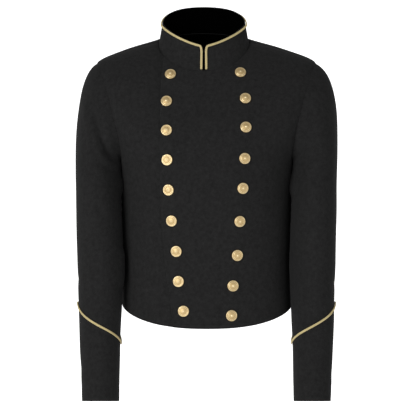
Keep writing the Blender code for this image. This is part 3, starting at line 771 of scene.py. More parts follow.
@dataclass(frozen=True)
class BrassFinish:
    """Pale polished brass, painted darker in its grooves, round the star's foot and down the rim toward the cloth as
    painted shade, with a faint random cloud of tone.
    """

    name: str = "pale_brass"
    polished: tuple[float, float, float] = (0.92, 0.78, 0.47)
    dull: tuple[float, float, float] = (0.38, 0.22, 0.06)
    roughness: float = 0.30
    metallic: float = 0.62
    cloud_mm: float = 2.4

    def material(self) -> bpy.types.Material:
        """The finish as a material, made once."""
        found = bpy.data.materials.get(self.name)
        if found:
            return found
        material, nodes, link, shader = new_material(self.name)
        where = nodes.new("ShaderNodeTexCoord")
        # This attribute holds the painted shade: darker brass in the grooves, round the star's foot and down the rim
        # toward the cloth.
        hollow_shade = nodes.new("ShaderNodeAttribute")
        hollow_shade.attribute_name = "hollow_shade"
        cloud = nodes.new("ShaderNodeTexNoise")
        cloud.inputs["Scale"].default_value = 1.0 / (self.cloud_mm * MM)
        cloud.inputs["Detail"].default_value = 3.0
        link(where.outputs["Object"], cloud.inputs["Vector"])
        # Random tone from the cloud, plus the painted shade from the attribute.
        tone_and_shade = nodes.new("ShaderNodeMath")
        tone_and_shade.operation = "MULTIPLY_ADD"
        tone_and_shade.use_clamp = True
        link(cloud.outputs["Fac"], tone_and_shade.inputs[0])
        tone_and_shade.inputs[1].default_value = 0.30
        link(hollow_shade.outputs["Fac"], tone_and_shade.inputs[2])
        colour = nodes.new("ShaderNodeMix")
        colour.data_type = "RGBA"
        colour.inputs[6].default_value = (*self.polished, 1.0)
        colour.inputs[7].default_value = (*self.dull, 1.0)
        link(tone_and_shade.outputs[0], colour.inputs[0])
        link(colour.outputs[2], shader.inputs["Base Color"])
        rough = nodes.new("ShaderNodeMapRange")
        rough.inputs["To Min"].default_value = self.roughness
        rough.inputs["To Max"].default_value = self.roughness + 0.3
        link(tone_and_shade.outputs[0], rough.inputs["Value"])
        link(rough.outputs["Result"], shader.inputs["Roughness"])
        shader.inputs["Metallic"].default_value = self.metallic
        return material


def new_material(name: str) -> tuple[bpy.types.Material, bpy.types.Nodes, Callable, bpy.types.Node]:
    """A fresh material with its nodes, its way of linking and its shader."""
    material = bpy.data.materials.new(name)
    material.use_nodes = True
    tree = material.node_tree
    return material, tree.nodes, tree.links.new, tree.nodes["Principled BSDF"]


def add_bump(nodes: bpy.types.Nodes, link: Callable, height: bpy.types.NodeSocket, shader: bpy.types.Node, size: float) -> None:
    """Feeds a height through a Bump node to the shader's normal.

    Args:
        nodes: the material's nodes.
        link: the material's way of linking.
        height: the socket that holds the height, from 0 to 1.
        shader: the material's shader.
        size: how high 1 stands, in metres.
    """
    bump = nodes.new("ShaderNodeBump")
    bump.inputs["Strength"].default_value = 0.8
    bump.inputs["Distance"].default_value = size
    link(height, bump.inputs["Height"])
    link(bump.outputs["Normal"], shader.inputs["Normal"])


def new_group(name: str, inputs: Sequence[tuple[str, str]], outputs: Sequence[tuple[str, str]]) -> tuple:
    """A node group with these sockets.

    Args:
        name: the group's name.
        inputs: the name and kind of each input.
        outputs: the name and kind of each output.

    Returns:
        The group, its nodes, its way of linking, and its input and output nodes.
    """
    group = bpy.data.node_groups.new(name, "ShaderNodeTree")
    for way, sockets in (("INPUT", inputs), ("OUTPUT", outputs)):
        for socket, kind in sockets:
            group.interface.new_socket(name=socket, in_out=way, socket_type=kind)
    taken, given = group.nodes.new("NodeGroupInput"), group.nodes.new("NodeGroupOutput")
    return group, group.nodes, group.links.new, taken, given


VECTOR, NUMBER, COLOUR = "NodeSocketVector", "NodeSocketFloat", "NodeSocketColor"


def nap_group() -> bpy.types.NodeTree:
    """Felted nap over a twill: colour, height and a fibre mask that change over the cloth."""
    found = bpy.data.node_groups.get("wool_nap")
    if found:
        return found
    group, nodes, link, taken, given = new_group(
        "wool_nap",
        [
            ("Object", VECTOR),
            ("Cloth", VECTOR),
            ("Nap Scale", NUMBER),
            ("Mottle Scale", NUMBER),
            ("Twill Scale", NUMBER),
            ("Dark", COLOUR),
            ("Light", COLOUR),
        ],
        [("Colour", COLOUR), ("Height", NUMBER), ("Fibre", NUMBER)],
    )
    fibre = nodes.new("ShaderNodeTexNoise")
    fibre.inputs["Detail"].default_value = 4.0
    fibre.inputs["Roughness"].default_value = 0.6
    link(taken.outputs["Object"], fibre.inputs["Vector"])
    link(taken.outputs["Nap Scale"], fibre.inputs["Scale"])
    mottle = nodes.new("ShaderNodeTexNoise")
    mottle.inputs["Detail"].default_value = 3.0
    link(taken.outputs["Object"], mottle.inputs["Vector"])
    link(taken.outputs["Mottle Scale"], mottle.inputs["Scale"])
    twill = nodes.new("ShaderNodeTexWave")
    twill.wave_type = "BANDS"
    twill.bands_direction = "DIAGONAL"
    twill.inputs["Distortion"].default_value = 1.2
    twill.inputs["Detail"].default_value = 1.0
    link(taken.outputs["Cloth"], twill.inputs["Vector"])
    link(taken.outputs["Twill Scale"], twill.inputs["Scale"])
    height = nodes.new("ShaderNodeMath")
    height.operation = "MULTIPLY_ADD"
    height.inputs[1].default_value = 0.25
    link(twill.outputs["Fac"], height.inputs[0])
    link(fibre.outputs["Fac"], height.inputs[2])
    mixed = nodes.new("ShaderNodeMath")
    mixed.operation = "MULTIPLY_ADD"
    mixed.inputs[1].default_value = 0.55
    link(fibre.outputs["Fac"], mixed.inputs[0])
    half = nodes.new("ShaderNodeMath")
    half.operation = "MULTIPLY"
    half.inputs[1].default_value = 0.55
    link(mottle.outputs["Fac"], half.inputs[0])
    link(half.outputs[0], mixed.inputs[2])
    colour = nodes.new("ShaderNodeMix")
    colour.data_type = "RGBA"
    link(mixed.outputs[0], colour.inputs[0])
    link(taken.outputs["Dark"], colour.inputs[6])
    link(taken.outputs["Light"], colour.inputs[7])
    link(colour.outputs[2], given.inputs["Colour"])
    link(height.outputs[0], given.inputs["Height"])
    link(fibre.outputs["Fac"], given.inputs["Fibre"])
    return group


def thread_group() -> bpy.types.NodeTree:
    """Thread wound round a strand: U runs round it and V along it, one for each turn's length. Its colour is painted
    darker where the thread lies low, as painted shade in the grooves, with random tone from a noise.
    """
    found = bpy.data.node_groups.get("wound_thread")
    if found:
        return found
    group, nodes, link, taken, given = new_group(
        "wound_thread",
        [("Along", VECTOR), ("Object", VECTOR), ("Threads", NUMBER), ("Deep", COLOUR), ("Bright", COLOUR)],
        [("Colour", COLOUR), ("Height", NUMBER)],
    )
    lines = nodes.new("ShaderNodeTexWave")
    lines.wave_type = "BANDS"
    lines.bands_direction = "DIAGONAL"
    lines.inputs["Distortion"].default_value = 0.5
    link(taken.outputs["Along"], lines.inputs["Vector"])
    link(taken.outputs["Threads"], lines.inputs["Scale"])
    worn = nodes.new("ShaderNodeTexNoise")
    worn.inputs["Scale"].default_value = 260.0
    worn.inputs["Detail"].default_value = 2.0
    link(taken.outputs["Object"], worn.inputs["Vector"])
    mixed = nodes.new("ShaderNodeMath")
    mixed.operation = "MULTIPLY_ADD"
    mixed.inputs[1].default_value = 0.55
    mixed.use_clamp = True
    link(lines.outputs["Fac"], mixed.inputs[0])
    link(worn.outputs["Fac"], mixed.inputs[2])
    # Darker where the threads lie low: painted shade in the grooves, plus random tone from the noise.
    colour = nodes.new("ShaderNodeMix")
    colour.data_type = "RGBA"
    link(mixed.outputs[0], colour.inputs[0])
    link(taken.outputs["Deep"], colour.inputs[6])
    link(taken.outputs["Bright"], colour.inputs[7])
    link(colour.outputs[2], given.inputs["Colour"])
    link(lines.outputs["Fac"], given.inputs["Height"])
    return group


WOOL = WoolFinish()
# A darker copy of the same wool, without sheen or specular, for the cloth's inner faces: painted shade inside the
# jacket.
WOOL_PAINTED_SHADE = WoolFinish(
    name="black_wool_painted_shade", dark=(0.0002, 0.0002, 0.0002), light=(0.0007, 0.0007, 0.0007), sheen=0.0, specular=0.0
)
GOLD = CordFinish()
BRASS = BrassFinish()


def linked(name: str, mesh: bpy.types.Mesh) -> bpy.types.Object:
    """A mesh as an object in the scene."""
    piece = bpy.data.objects.new(name, mesh)
    bpy.context.scene.collection.objects.link(piece)
    return piece


def dressed(piece: bpy.types.Object, nodes: Sequence[str]) -> bpy.types.Object:
    """Ties a finished piece to the frame.

    Args:
        piece: the finished piece.
        nodes: the CAD nodes that it stands for.

    Returns:
        The piece.
    """
    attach(piece, BODY)
    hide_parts(*nodes)
    LOG.info("%s: %d faces, stands for %s", piece.name, len(piece.data.polygons), ", ".join(nodes))
    return piece


def smooth(mesh: bpy.types.Mesh) -> None:
    """Shades every face smooth."""
    mesh.polygons.foreach_set("use_smooth", np.ones(len(mesh.polygons), bool))
    mesh.update()


@dataclass
class Sheet:
    """One cut piece of wool: a grid of points on its outer face, made into a wall with round edges."""

    name: str
    node: str
    points: Grid
    normals: Grid
    flat: tuple[float, float]
    area: float
    thickness: float = 2.2
    closed: bool = False
    sewn: tuple[bool, bool, bool, bool] = (False, True, False, True)
    rests_on: tuple[str, ...] = ()
    rim_shares: tuple[float, ...] = (0.0, 0.134, 0.5, 1.0)
    sewn_round: float = 0.3
    turned_round: float = 0.94

    def rimmed(self, axis: int, rim: Grid) -> Grid:
        """Adds the rows, or columns, that round two opposite edges.

        Args:
            axis: 0 for the first and last row, 1 for the first and last column.
            rim: how near each point is to an edge that was rounded before, 1 on it.

        Returns:
            The same for this axis, and for the other axis with the new rows added, as two layers.
        """
        radius = self.thickness / 2
        most = [self.sewn_round if sewn else self.turned_round for sewn in self.sewn[2 * axis : 2 * axis + 2]]
        points, normals = (np.moveaxis(a, axis, 0) for a in (self.points, self.normals))
        rim = np.moveaxis(rim, axis, 0)
        shares = np.array(self.rim_shares)

        def edge(first: int, second: int) -> tuple[list[Grid], list[Grid], list[Grid]]:
            step = points[second] - points[first]
            span = np.maximum(np.linalg.norm(step, axis=-1, keepdims=True), 1e-6)
            rows, faced, kept = [], [], []
            for share in shares:
                t = np.minimum(share * radius / span, 0.9 * (0.05 + 0.95 * share))
                rows.append(points[first] + step * t)
                faced.append(unit(normals[first] * (1 - t) + normals[second] * t))
                kept.append(rim[first] * (1 - t[..., 0]) + rim[second] * t[..., 0])
            return rows, faced, kept

        start, end = edge(0, 1), edge(-1, -2)
        near = 1.0 - shares
        new = [*(near * most[0]), *[0.0] * (len(points) - 2), *(near * most[1])[::-1]]
        stacked = [np.stack(a + list(b[1:-1]) + c[::-1]) for a, b, c in zip(start, (points, normals, rim), end)]
        self.points, self.normals = (np.moveaxis(a, 0, axis) for a in stacked[:2])
        fresh = np.broadcast_to(np.array(new).reshape(-1, *[1] * (rim.ndim - 1)), stacked[2].shape)
        return np.stack([np.moveaxis(fresh, 0, axis), np.moveaxis(stacked[2], 0, axis)])

    def build(self) -> bpy.types.Object:
        """The wall as a closed mesh, with its UV in metres along the cloth."""
        rims = self.rimmed(0, np.zeros(self.points.shape[:2]))
        nearness = rims[0] ** 2
        if not self.closed:
            both = self.rimmed(1, rims[0])
            nearness = both[0] ** 2 + both[1] ** 2
        rows, columns = self.points.shape[:2]
        depth = (self.thickness / 2 * (1 - np.sqrt(1 - np.minimum(nearness, self.turned_round**2))))[..., None]
        outer = self.points - self.normals * depth
        inner = self.points - self.normals * (self.thickness - depth)
        count = rows * columns
        points = np.concatenate([outer.reshape(-1, 3), inner.reshape(-1, 3)]) * MM
        near = np.arange(count).reshape(rows, columns)
        if self.closed:
            near = np.concatenate([near, near[:, :1]], axis=1)
        faces = np.stack([near[:-1, :-1], near[:-1, 1:], near[1:, 1:], near[1:, :-1]], axis=-1).reshape(-1, 4)
        loops = [near[0], near[-1, ::-1]] if self.closed else [np.concatenate(
            [near[0, :-1], near[:-1, -1], near[-1, :0:-1], near[:0:-1, 0], near[0, :1]]
        )]
        ends = [np.stack([line[1:], line[:-1], line[:-1] + count, line[1:] + count], axis=-1) for line in loops]
        quads = np.concatenate([faces, *ends, faces[:, ::-1] + count])
        mesh = bpy.data.meshes.new(self.name)
        mesh.from_pydata(points.tolist(), [], quads.tolist())
        self.lay_uv(mesh, outer, count)
        mesh.materials.append(WOOL.material())
        # The inner faces take the darker copy of the same wool: painted shade inside the jacket.
        mesh.materials.append(WOOL_PAINTED_SHADE.material())
        slots = np.zeros(len(quads), np.int32)
        slots[-len(faces) :] = 1
        mesh.polygons.foreach_set("material_index", slots)
        if signed_volume(mesh) < 0:
            mesh.flip_normals()
        smooth(mesh)
        piece = linked(self.name, mesh)
        return dressed(piece, [self.node])

    @staticmethod
    def lay_uv(mesh: bpy.types.Mesh, outer: Grid, count: int) -> None:
        """Gives the mesh a UV map in metres: U across the cloth and V along it.

        Args:
            mesh: the new mesh.
            outer: the outer points, which come first in the mesh.
            count: how many of them there are.
        """
        steps = np.linalg.norm(np.diff(outer, axis=1, prepend=outer[:, :1]), axis=2)
        rises = np.linalg.norm(np.diff(outer, axis=0, prepend=outer[:1]), axis=2)
        place = np.stack([np.cumsum(steps, axis=1), np.cumsum(rises, axis=0)], axis=-1) * MM
        by_point = np.concatenate([place.reshape(count, 2)] * 2)
        corners = np.empty(len(mesh.loops), np.int32)
        mesh.loops.foreach_get("vertex_index", corners)
        layer = mesh.uv_layers.new(name="cloth")
        layer.data.foreach_set("uv", by_point[corners].astype(np.float32).ravel())


@dataclass(frozen=True)
class SeamDip:
    """How cloth sinks toward a seam."""

    depth: float
    width: float

    def press(self, points: Grid, normals: Grid, line: Grid) -> Grid:
        """The points after sinking beside the seam's line."""
        sunk = self.depth * np.exp(-((distance_to(points, line) / self.width) ** 2))
        return points - normals * sunk[..., None]


ARMHOLE_DIP = SeamDip(1.5, 3.4)
PLAIN_DIP = SeamDip(0.8, 2.6)
COLLAR_DIP = SeamDip(2.2, 1.9)
HEM_LINE = SeamDip(0.35, 2.2)


@dataclass
class Trunk:
    """The two fronts, which lap, and the back."""

    form: BodyForm = field(default_factory=BodyForm)
    side_rows: int = 88
    armhole_rows: int = 84
    shoulder_rows: int = 56
    front_columns: int = 84
    back_columns: int = 124
    lap_drop: float = 3.1
    neck_drop: float = 0.9
    neck_ramp: float = 32.0
    hem_turn: float = 24.0
    ridge: float = 0.55
    ridge_width: float = 5.0
    front_flat: tuple[float, float] = (0.34, 0.60)
    front_area: float = 0.155
    back_flat: tuple[float, float] = (0.50, 0.62)
    back_area: float = 0.215

    def outer_side(self, side: Side, front: bool) -> Grid:
        """Angle and distance down of a panel's outer side, hem first: side seam, armhole, shoulder.

        Args:
            side: the wearer's side.
            front: True for a front and False for the back.

        Returns:
            One row of two numbers for each grid row.
        """
        place, run, low = self.form.armhole(side)
        span = (low, 0.0) if front else (low, run[-1])
        stops = np.linspace(*span, self.armhole_rows + 1)
        hole = np.stack([np.interp(stops, run, place[:, i]) for i in (0, 1)], axis=-1)
        line = 0.0 if side is Side.LEFT else math.pi
        seam = np.linspace((line, self.form.hem), hole[0], self.side_rows + 1)[:-1]
        shoulder = np.linspace((line, self.form.tip), (line, 0.0), self.shoulder_rows + 1)[1:]
        return np.concatenate([seam, hole, shoulder])

    def grid(self, one: Grid, other: Grid, columns: int) -> tuple[Grid, Grid, Grid]:
        """Points and normals across a panel, each row along one girth line.

        Args:
            one: angle and distance down of one side.
            other: the same for the other side.
            columns: the steps between them.

        Returns:
            The points, the normals, and the distances down.
        """
        share = np.linspace(0.0, 1.0, columns + 1)[None, :]
        angles = one[:, :1] * (1 - share) + other[:, :1] * share
        downs = np.repeat(one[:, 1:], columns + 1, axis=1)
        return self.form.outer(angles, downs), self.form.normals(angles, downs), downs

    def pressed(self, points: Grid, normals: Grid, outer: Sequence[Grid]) -> Grid:
        """Sinks a panel beside its seams, and where its hem is turned up.

        Args:
            points: the panel's points.
            normals: their normals.
            outer: the panel's sewn sides, each as points from the hem up.

        Returns:
            The pressed points.
        """
        rows = (self.side_rows, self.side_rows + self.armhole_rows)
        result = points
        for line in outer:
            for part, dip in (
                (line[: rows[0] + 1], PLAIN_DIP),
                (line[rows[0] : rows[1] + 1], ARMHOLE_DIP),
                (line[rows[1] :], PLAIN_DIP),
            ):
                result = dip.press(result, normals, part)
        result = COLLAR_DIP.press(result, normals, points[-1])
        hem = distance_to(points, points[0])
        sunk = HEM_LINE.depth * np.exp(-(((hem - self.hem_turn) / HEM_LINE.width) ** 2))
        return result - normals * sunk[..., None]

    def front(self, side: Side) -> bpy.types.Object:
        """One front. The wearer's left laps over, and the right lies under it."""
        over = side is Side.LEFT
        outer_edge = self.outer_side(side, front=True)
        if not over:
            outer_edge[:, 0] -= 2 * math.pi
        name = "lap_x" if over else "under_x"
        inner_edge = np.stack([self.form.edge_angles(outer_edge[:, 1], name), outer_edge[:, 1]], axis=-1)
        points, normals, downs = self.grid(inner_edge, outer_edge, self.front_columns)
        points = self.pressed(points, normals, [points[:, -1]])
        x, z = points[..., 0], points[..., 2]
        if over:
            off = (x - self.form.edge_x(z, "under_x")) / self.ridge_width
            raised = self.ridge * (np.exp(-(off**2)) + 0.6 * eased(-off / 2 + 0.5))
            raised = raised * eased((x - self.form.edge_x(z, "lap_x")) / 30.0)
            points = points + normals * raised[..., None]
        else:
            clear = x - self.form.edge_x(z, "lap_x")
            ramp = np.clip(9 - 0.18 * (z + 30), 9, 28)
            drop = self.neck_drop + (self.lap_drop - self.neck_drop) * eased(downs / self.neck_ramp)
            points = points - normals * (drop * eased((clear + 4 + ramp) / ramp))[..., None]
        return Sheet(
            f"front_{side.word}_cloth",
            f"front_{side.word}",
            points,
            normals,
            self.front_flat,
            self.front_area,
            sewn=(False, True, False, True),
            rests_on=("front_right",) if over else (),
        ).build()

    def back(self) -> bpy.types.Object:
        """The back, from one side seam, armhole and shoulder seam to the other."""
        sides = [self.outer_side(side, front=False) for side in Side]
        points, normals, _ = self.grid(sides[0], sides[1], self.back_columns)
        points = self.pressed(points, normals, [points[:, 0], points[:, -1]])
        sewn = (False, True, True, True)
        return Sheet("back_cloth", "back", points, normals, self.back_flat, self.back_area, sewn=sewn).build()


@dataclass
class Cord:
    """A cord of twisted strands that lies flat on cloth along a line of points."""

    name: str
    node: str
    path: Grid
    normals: Grid
    closed: bool = False
    half_width: float = 2.25
    half_height: float = 1.5
    strands: int = 3
    strand_sides: int = 8
    turn_length: float = 11.0
    step: float = 0.9

    def even(self) -> tuple[Grid, Grid]:
        """The path and its normals again at even steps."""
        path, normals = self.path, self.normals
        if self.closed:
            path, normals = (np.concatenate([a, a[:1]]) for a in (path, normals))
        run = length_along(path)
        count = max(8, round(run[-1] / self.step))
        at = np.linspace(0, run[-1], count + 1)[: count if self.closed else None]
        points = np.stack([through(run, path[:, i], at) for i in range(3)], axis=-1)
        faced = unit(np.stack([np.interp(at, run, normals[:, i]) for i in range(3)], axis=-1))
        return points, faced

    def build(self) -> bpy.types.Object:
        """The strands as one mesh, with U round each strand and V along it in turns."""
        points, normals = self.even()
        count = len(points)
        if self.closed:
            along = unit(np.roll(points, -1, axis=0) - np.roll(points, 1, axis=0))
            whole = float(length_along(np.concatenate([points, points[:1]]))[-1])
        else:
            along = unit(np.gradient(points, axis=0))
            whole = float(length_along(points)[-1])
        across = unit(np.cross(along, normals))
        lift = np.cross(across, along)
        logging.info("%s: %.0f mm of cord", self.name, whole)
        turns = max(1, round(whole / self.turn_length / self.strands) * self.strands)
        phase = np.arange(count) / (count if self.closed else count - 1) * turns * 2 * math.pi
        thick = self.half_height * 0.62
        swing = np.array([self.half_width - thick, self.half_height - thick])
        sides = self.strand_sides
        round_strand = np.arange(sides) * 2 * math.pi / sides
        verts, faces, uvs = [], [], []
        for strand in range(self.strands):
            at = phase + strand * 2 * math.pi / self.strands
            centre = points + across * (swing[0] * np.cos(at))[:, None] + lift * (swing[1] * np.sin(at))[:, None]
            lay = unit(np.roll(centre, -1, axis=0) - np.roll(centre, 1, axis=0)) if self.closed else unit(np.gradient(centre, axis=0))
            one = unit(np.cross(lay, lift))
            two = np.cross(one, lay)
            size = np.full(count, thick)
            if not self.closed:
                size *= np.sqrt(np.clip(np.minimum(np.arange(count), np.arange(count)[::-1]) / 2.0 + 0.2, 0.0, 1.0))
            ring = centre[:, None] + size[:, None, None] * (
                one[:, None] * np.cos(round_strand)[None, :, None] + two[:, None] * np.sin(round_strand)[None, :, None]
            )
            base = strand * count * sides
            verts.append(ring.reshape(-1, 3))
            for i in range(count if self.closed else count - 1):
                k = (i + 1) % count
                v = i * self.step / self.turn_length * 3
                w = (i + 1) * self.step / self.turn_length * 3
                for j in range(sides):
                    m = (j + 1) % sides
                    faces.append((base + i * sides + j, base + i * sides + m, base + k * sides + m, base + k * sides + j))
                    uvs += [(j / sides, v), ((j + 1) / sides, v), ((j + 1) / sides, w), (j / sides, w)]
            if not self.closed:
                faces.append(tuple(base + j for j in range(sides))[::-1])
                faces.append(tuple(base + (count - 1) * sides + j for j in range(sides)))
                uvs += [(0.5, 0.0)] * (2 * sides)
        mesh = bpy.data.meshes.new(self.name)
        mesh.from_pydata((np.concatenate(verts) * MM).tolist(), [], faces)
        layer = mesh.uv_layers.new(name="strand")
        layer.data.foreach_set("uv", np.array(uvs, np.float32).ravel())
        if signed_volume(mesh) < 0:
            mesh.flip_normals()
        mesh.materials.append(GOLD.material())
        smooth(mesh)
        return dressed(linked(self.name, mesh), [self.node])


def signed_volume(mesh: bpy.types.Mesh) -> float:
    """The volume inside a mesh, below zero where its faces point inward."""
    mesh.calc_loop_triangles()
    corners = np.array([[mesh.vertices[i].co for i in t.vertices] for t in mesh.loop_triangles])
    return float(np.linalg.det(corners).sum() / 6)


@dataclass
class Sleeve:
    """One sleeve and the cord round its forearm."""

    side: Side
    swell: float
    columns: int = 112
    head_steps: int = 56
    arm_steps: int = 120
    cord_peak: float = -507.0
    cord_fall: float = 0.545
    cord_soft: float = 4.0
    cord_lift: float = 1.75
    cuff_turn: float = 28.0
    flat: tuple[float, float] = (0.37, 0.66)
    area: float = 0.18

    def grid(self) -> tuple[Grid, Grid]:
        """The sleeve's points and normals."""
        form = SleeveForm(self.side, self.swell)
        turn = np.arange(self.columns) * 2 * math.pi / self.columns
        rows = np.concatenate(
            [
                np.linspace(0.0, form.head_rows, self.head_steps + 1)[:-1],
                np.linspace(form.head_rows, form.last_row, self.arm_steps + 1),
            ]
        )
        turns, row = np.meshgrid(turn, rows)
        return form.outer(turns, row), form.normals(turns, row)

    def build(self) -> list[bpy.types.Object]:
        """The sleeve and its cord."""
        points, normals = self.grid()
        cuff = distance_to(points, points[-1])
        sunk = HEM_LINE.depth * np.exp(-(((cuff - self.cuff_turn) / HEM_LINE.width) ** 2))
        pressed = points - normals * sunk[..., None]
        name = f"sleeve_{self.side.word}"
        sewn = (True, False, False, False)
        cloth = Sheet(f"{name}_cloth", name, pressed, normals, self.flat, self.area, closed=True, sewn=sewn).build()
        return [cloth, self.cord(pressed, normals)]

    def cord(self, points: Grid, normals: Grid) -> bpy.types.Object:
        """The cord, which lies on the sleeve's own points, highest at the outer middle."""
        low, faced = points[self.head_steps :], normals[self.head_steps :]
        level = int(np.argmin(np.abs(low[:, 0, 2] - self.cord_peak)))
        steps = np.linalg.norm(np.roll(low[level], -1, axis=0) - low[level], axis=1)
        girth = np.concatenate([[0.0], np.cumsum(steps)[:-1]])
        fall = np.minimum(girth, steps.sum() - girth)
        heights = self.cord_peak - self.cord_fall * (np.sqrt(fall**2 + self.cord_soft**2) - self.cord_soft)
        path, lifts = [], []
        for j, height in enumerate(heights):
            column = low[:, j, 2]
            i = int(np.argmax(column < height)) - 1
            share = (column[i] - height) / (column[i] - column[i + 1])
            lifts.append(faced[i, j])
            path.append(low[i, j] + share * (low[i + 1, j] - low[i, j]) + self.cord_lift * faced[i, j])
        name = f"cuff_piping_{self.side.word}"
        return Cord(f"{name}_strands", name, np.array(path), np.array(lifts), closed=True).build()


@dataclass
class Collar:
    """The standing collar and the cord along its front and top edges."""

    form: CollarForm = field(default_factory=CollarForm)
    columns: int = 190
    rows: int = 30
    thickness: float = 3.0
    cord_inset: float = 2.7
    back_inset: float = 4.0
    cord_lift: float = 1.7
    foot_rows: int = 2
    flat: tuple[float, float] = (0.42, 0.056)
    area: float = 0.0205

    def build(self) -> list[bpy.types.Object]:
        """The collar and its cord."""
        points, normals = self.form.grid(self.columns, self.rows)
        sewn = (True, False, False, False)
        cloth = Sheet("collar_cloth", "collar", points, normals, self.flat, self.area, self.thickness, sewn=sewn).build()
        return [cloth, self.cord(points, normals)]

    def cord(self, points: Grid, normals: Grid) -> bpy.types.Object:
        """The cord, just inside the collar's edge on its outer face."""

        def inset(edge: Grid, beside: Grid, faced: Grid) -> Grid:
            along = unit(np.gradient(edge, axis=0))
            step = beside - edge
            inward = unit(step - along * np.sum(step * along, axis=-1, keepdims=True))
            behind = eased((edge[:, 1:2] + 30.0) / 45.0)
            amount = self.cord_inset + (self.back_inset - self.cord_inset) * behind
            return edge + faced * self.cord_lift + amount * inward

        low = self.foot_rows
        left = inset(points[:, 0], points[:, 3], normals[:, 0])
        right = inset(points[:, -1], points[:, -4], normals[:, -1])
        top = inset(points[-1], points[-4], normals[-1])
        path = np.concatenate([left[low:-3], top[5:-5], right[-4 : low - 1 : -1]])
        faced = np.concatenate([normals[low:-3, 0], normals[-1, 5:-5], normals[-4 : low - 1 : -1, -1]])
        return Cord("collar_piping_strands", "collar_piping", path, unit(faced)).build()


def only(piece: bpy.types.Object) -> None:
    """Selects one object and makes it active."""
    for each in bpy.context.view_layer.objects:
        each.select_set(False)
    piece.select_set(True)
    bpy.context.view_layer.objects.active = piece


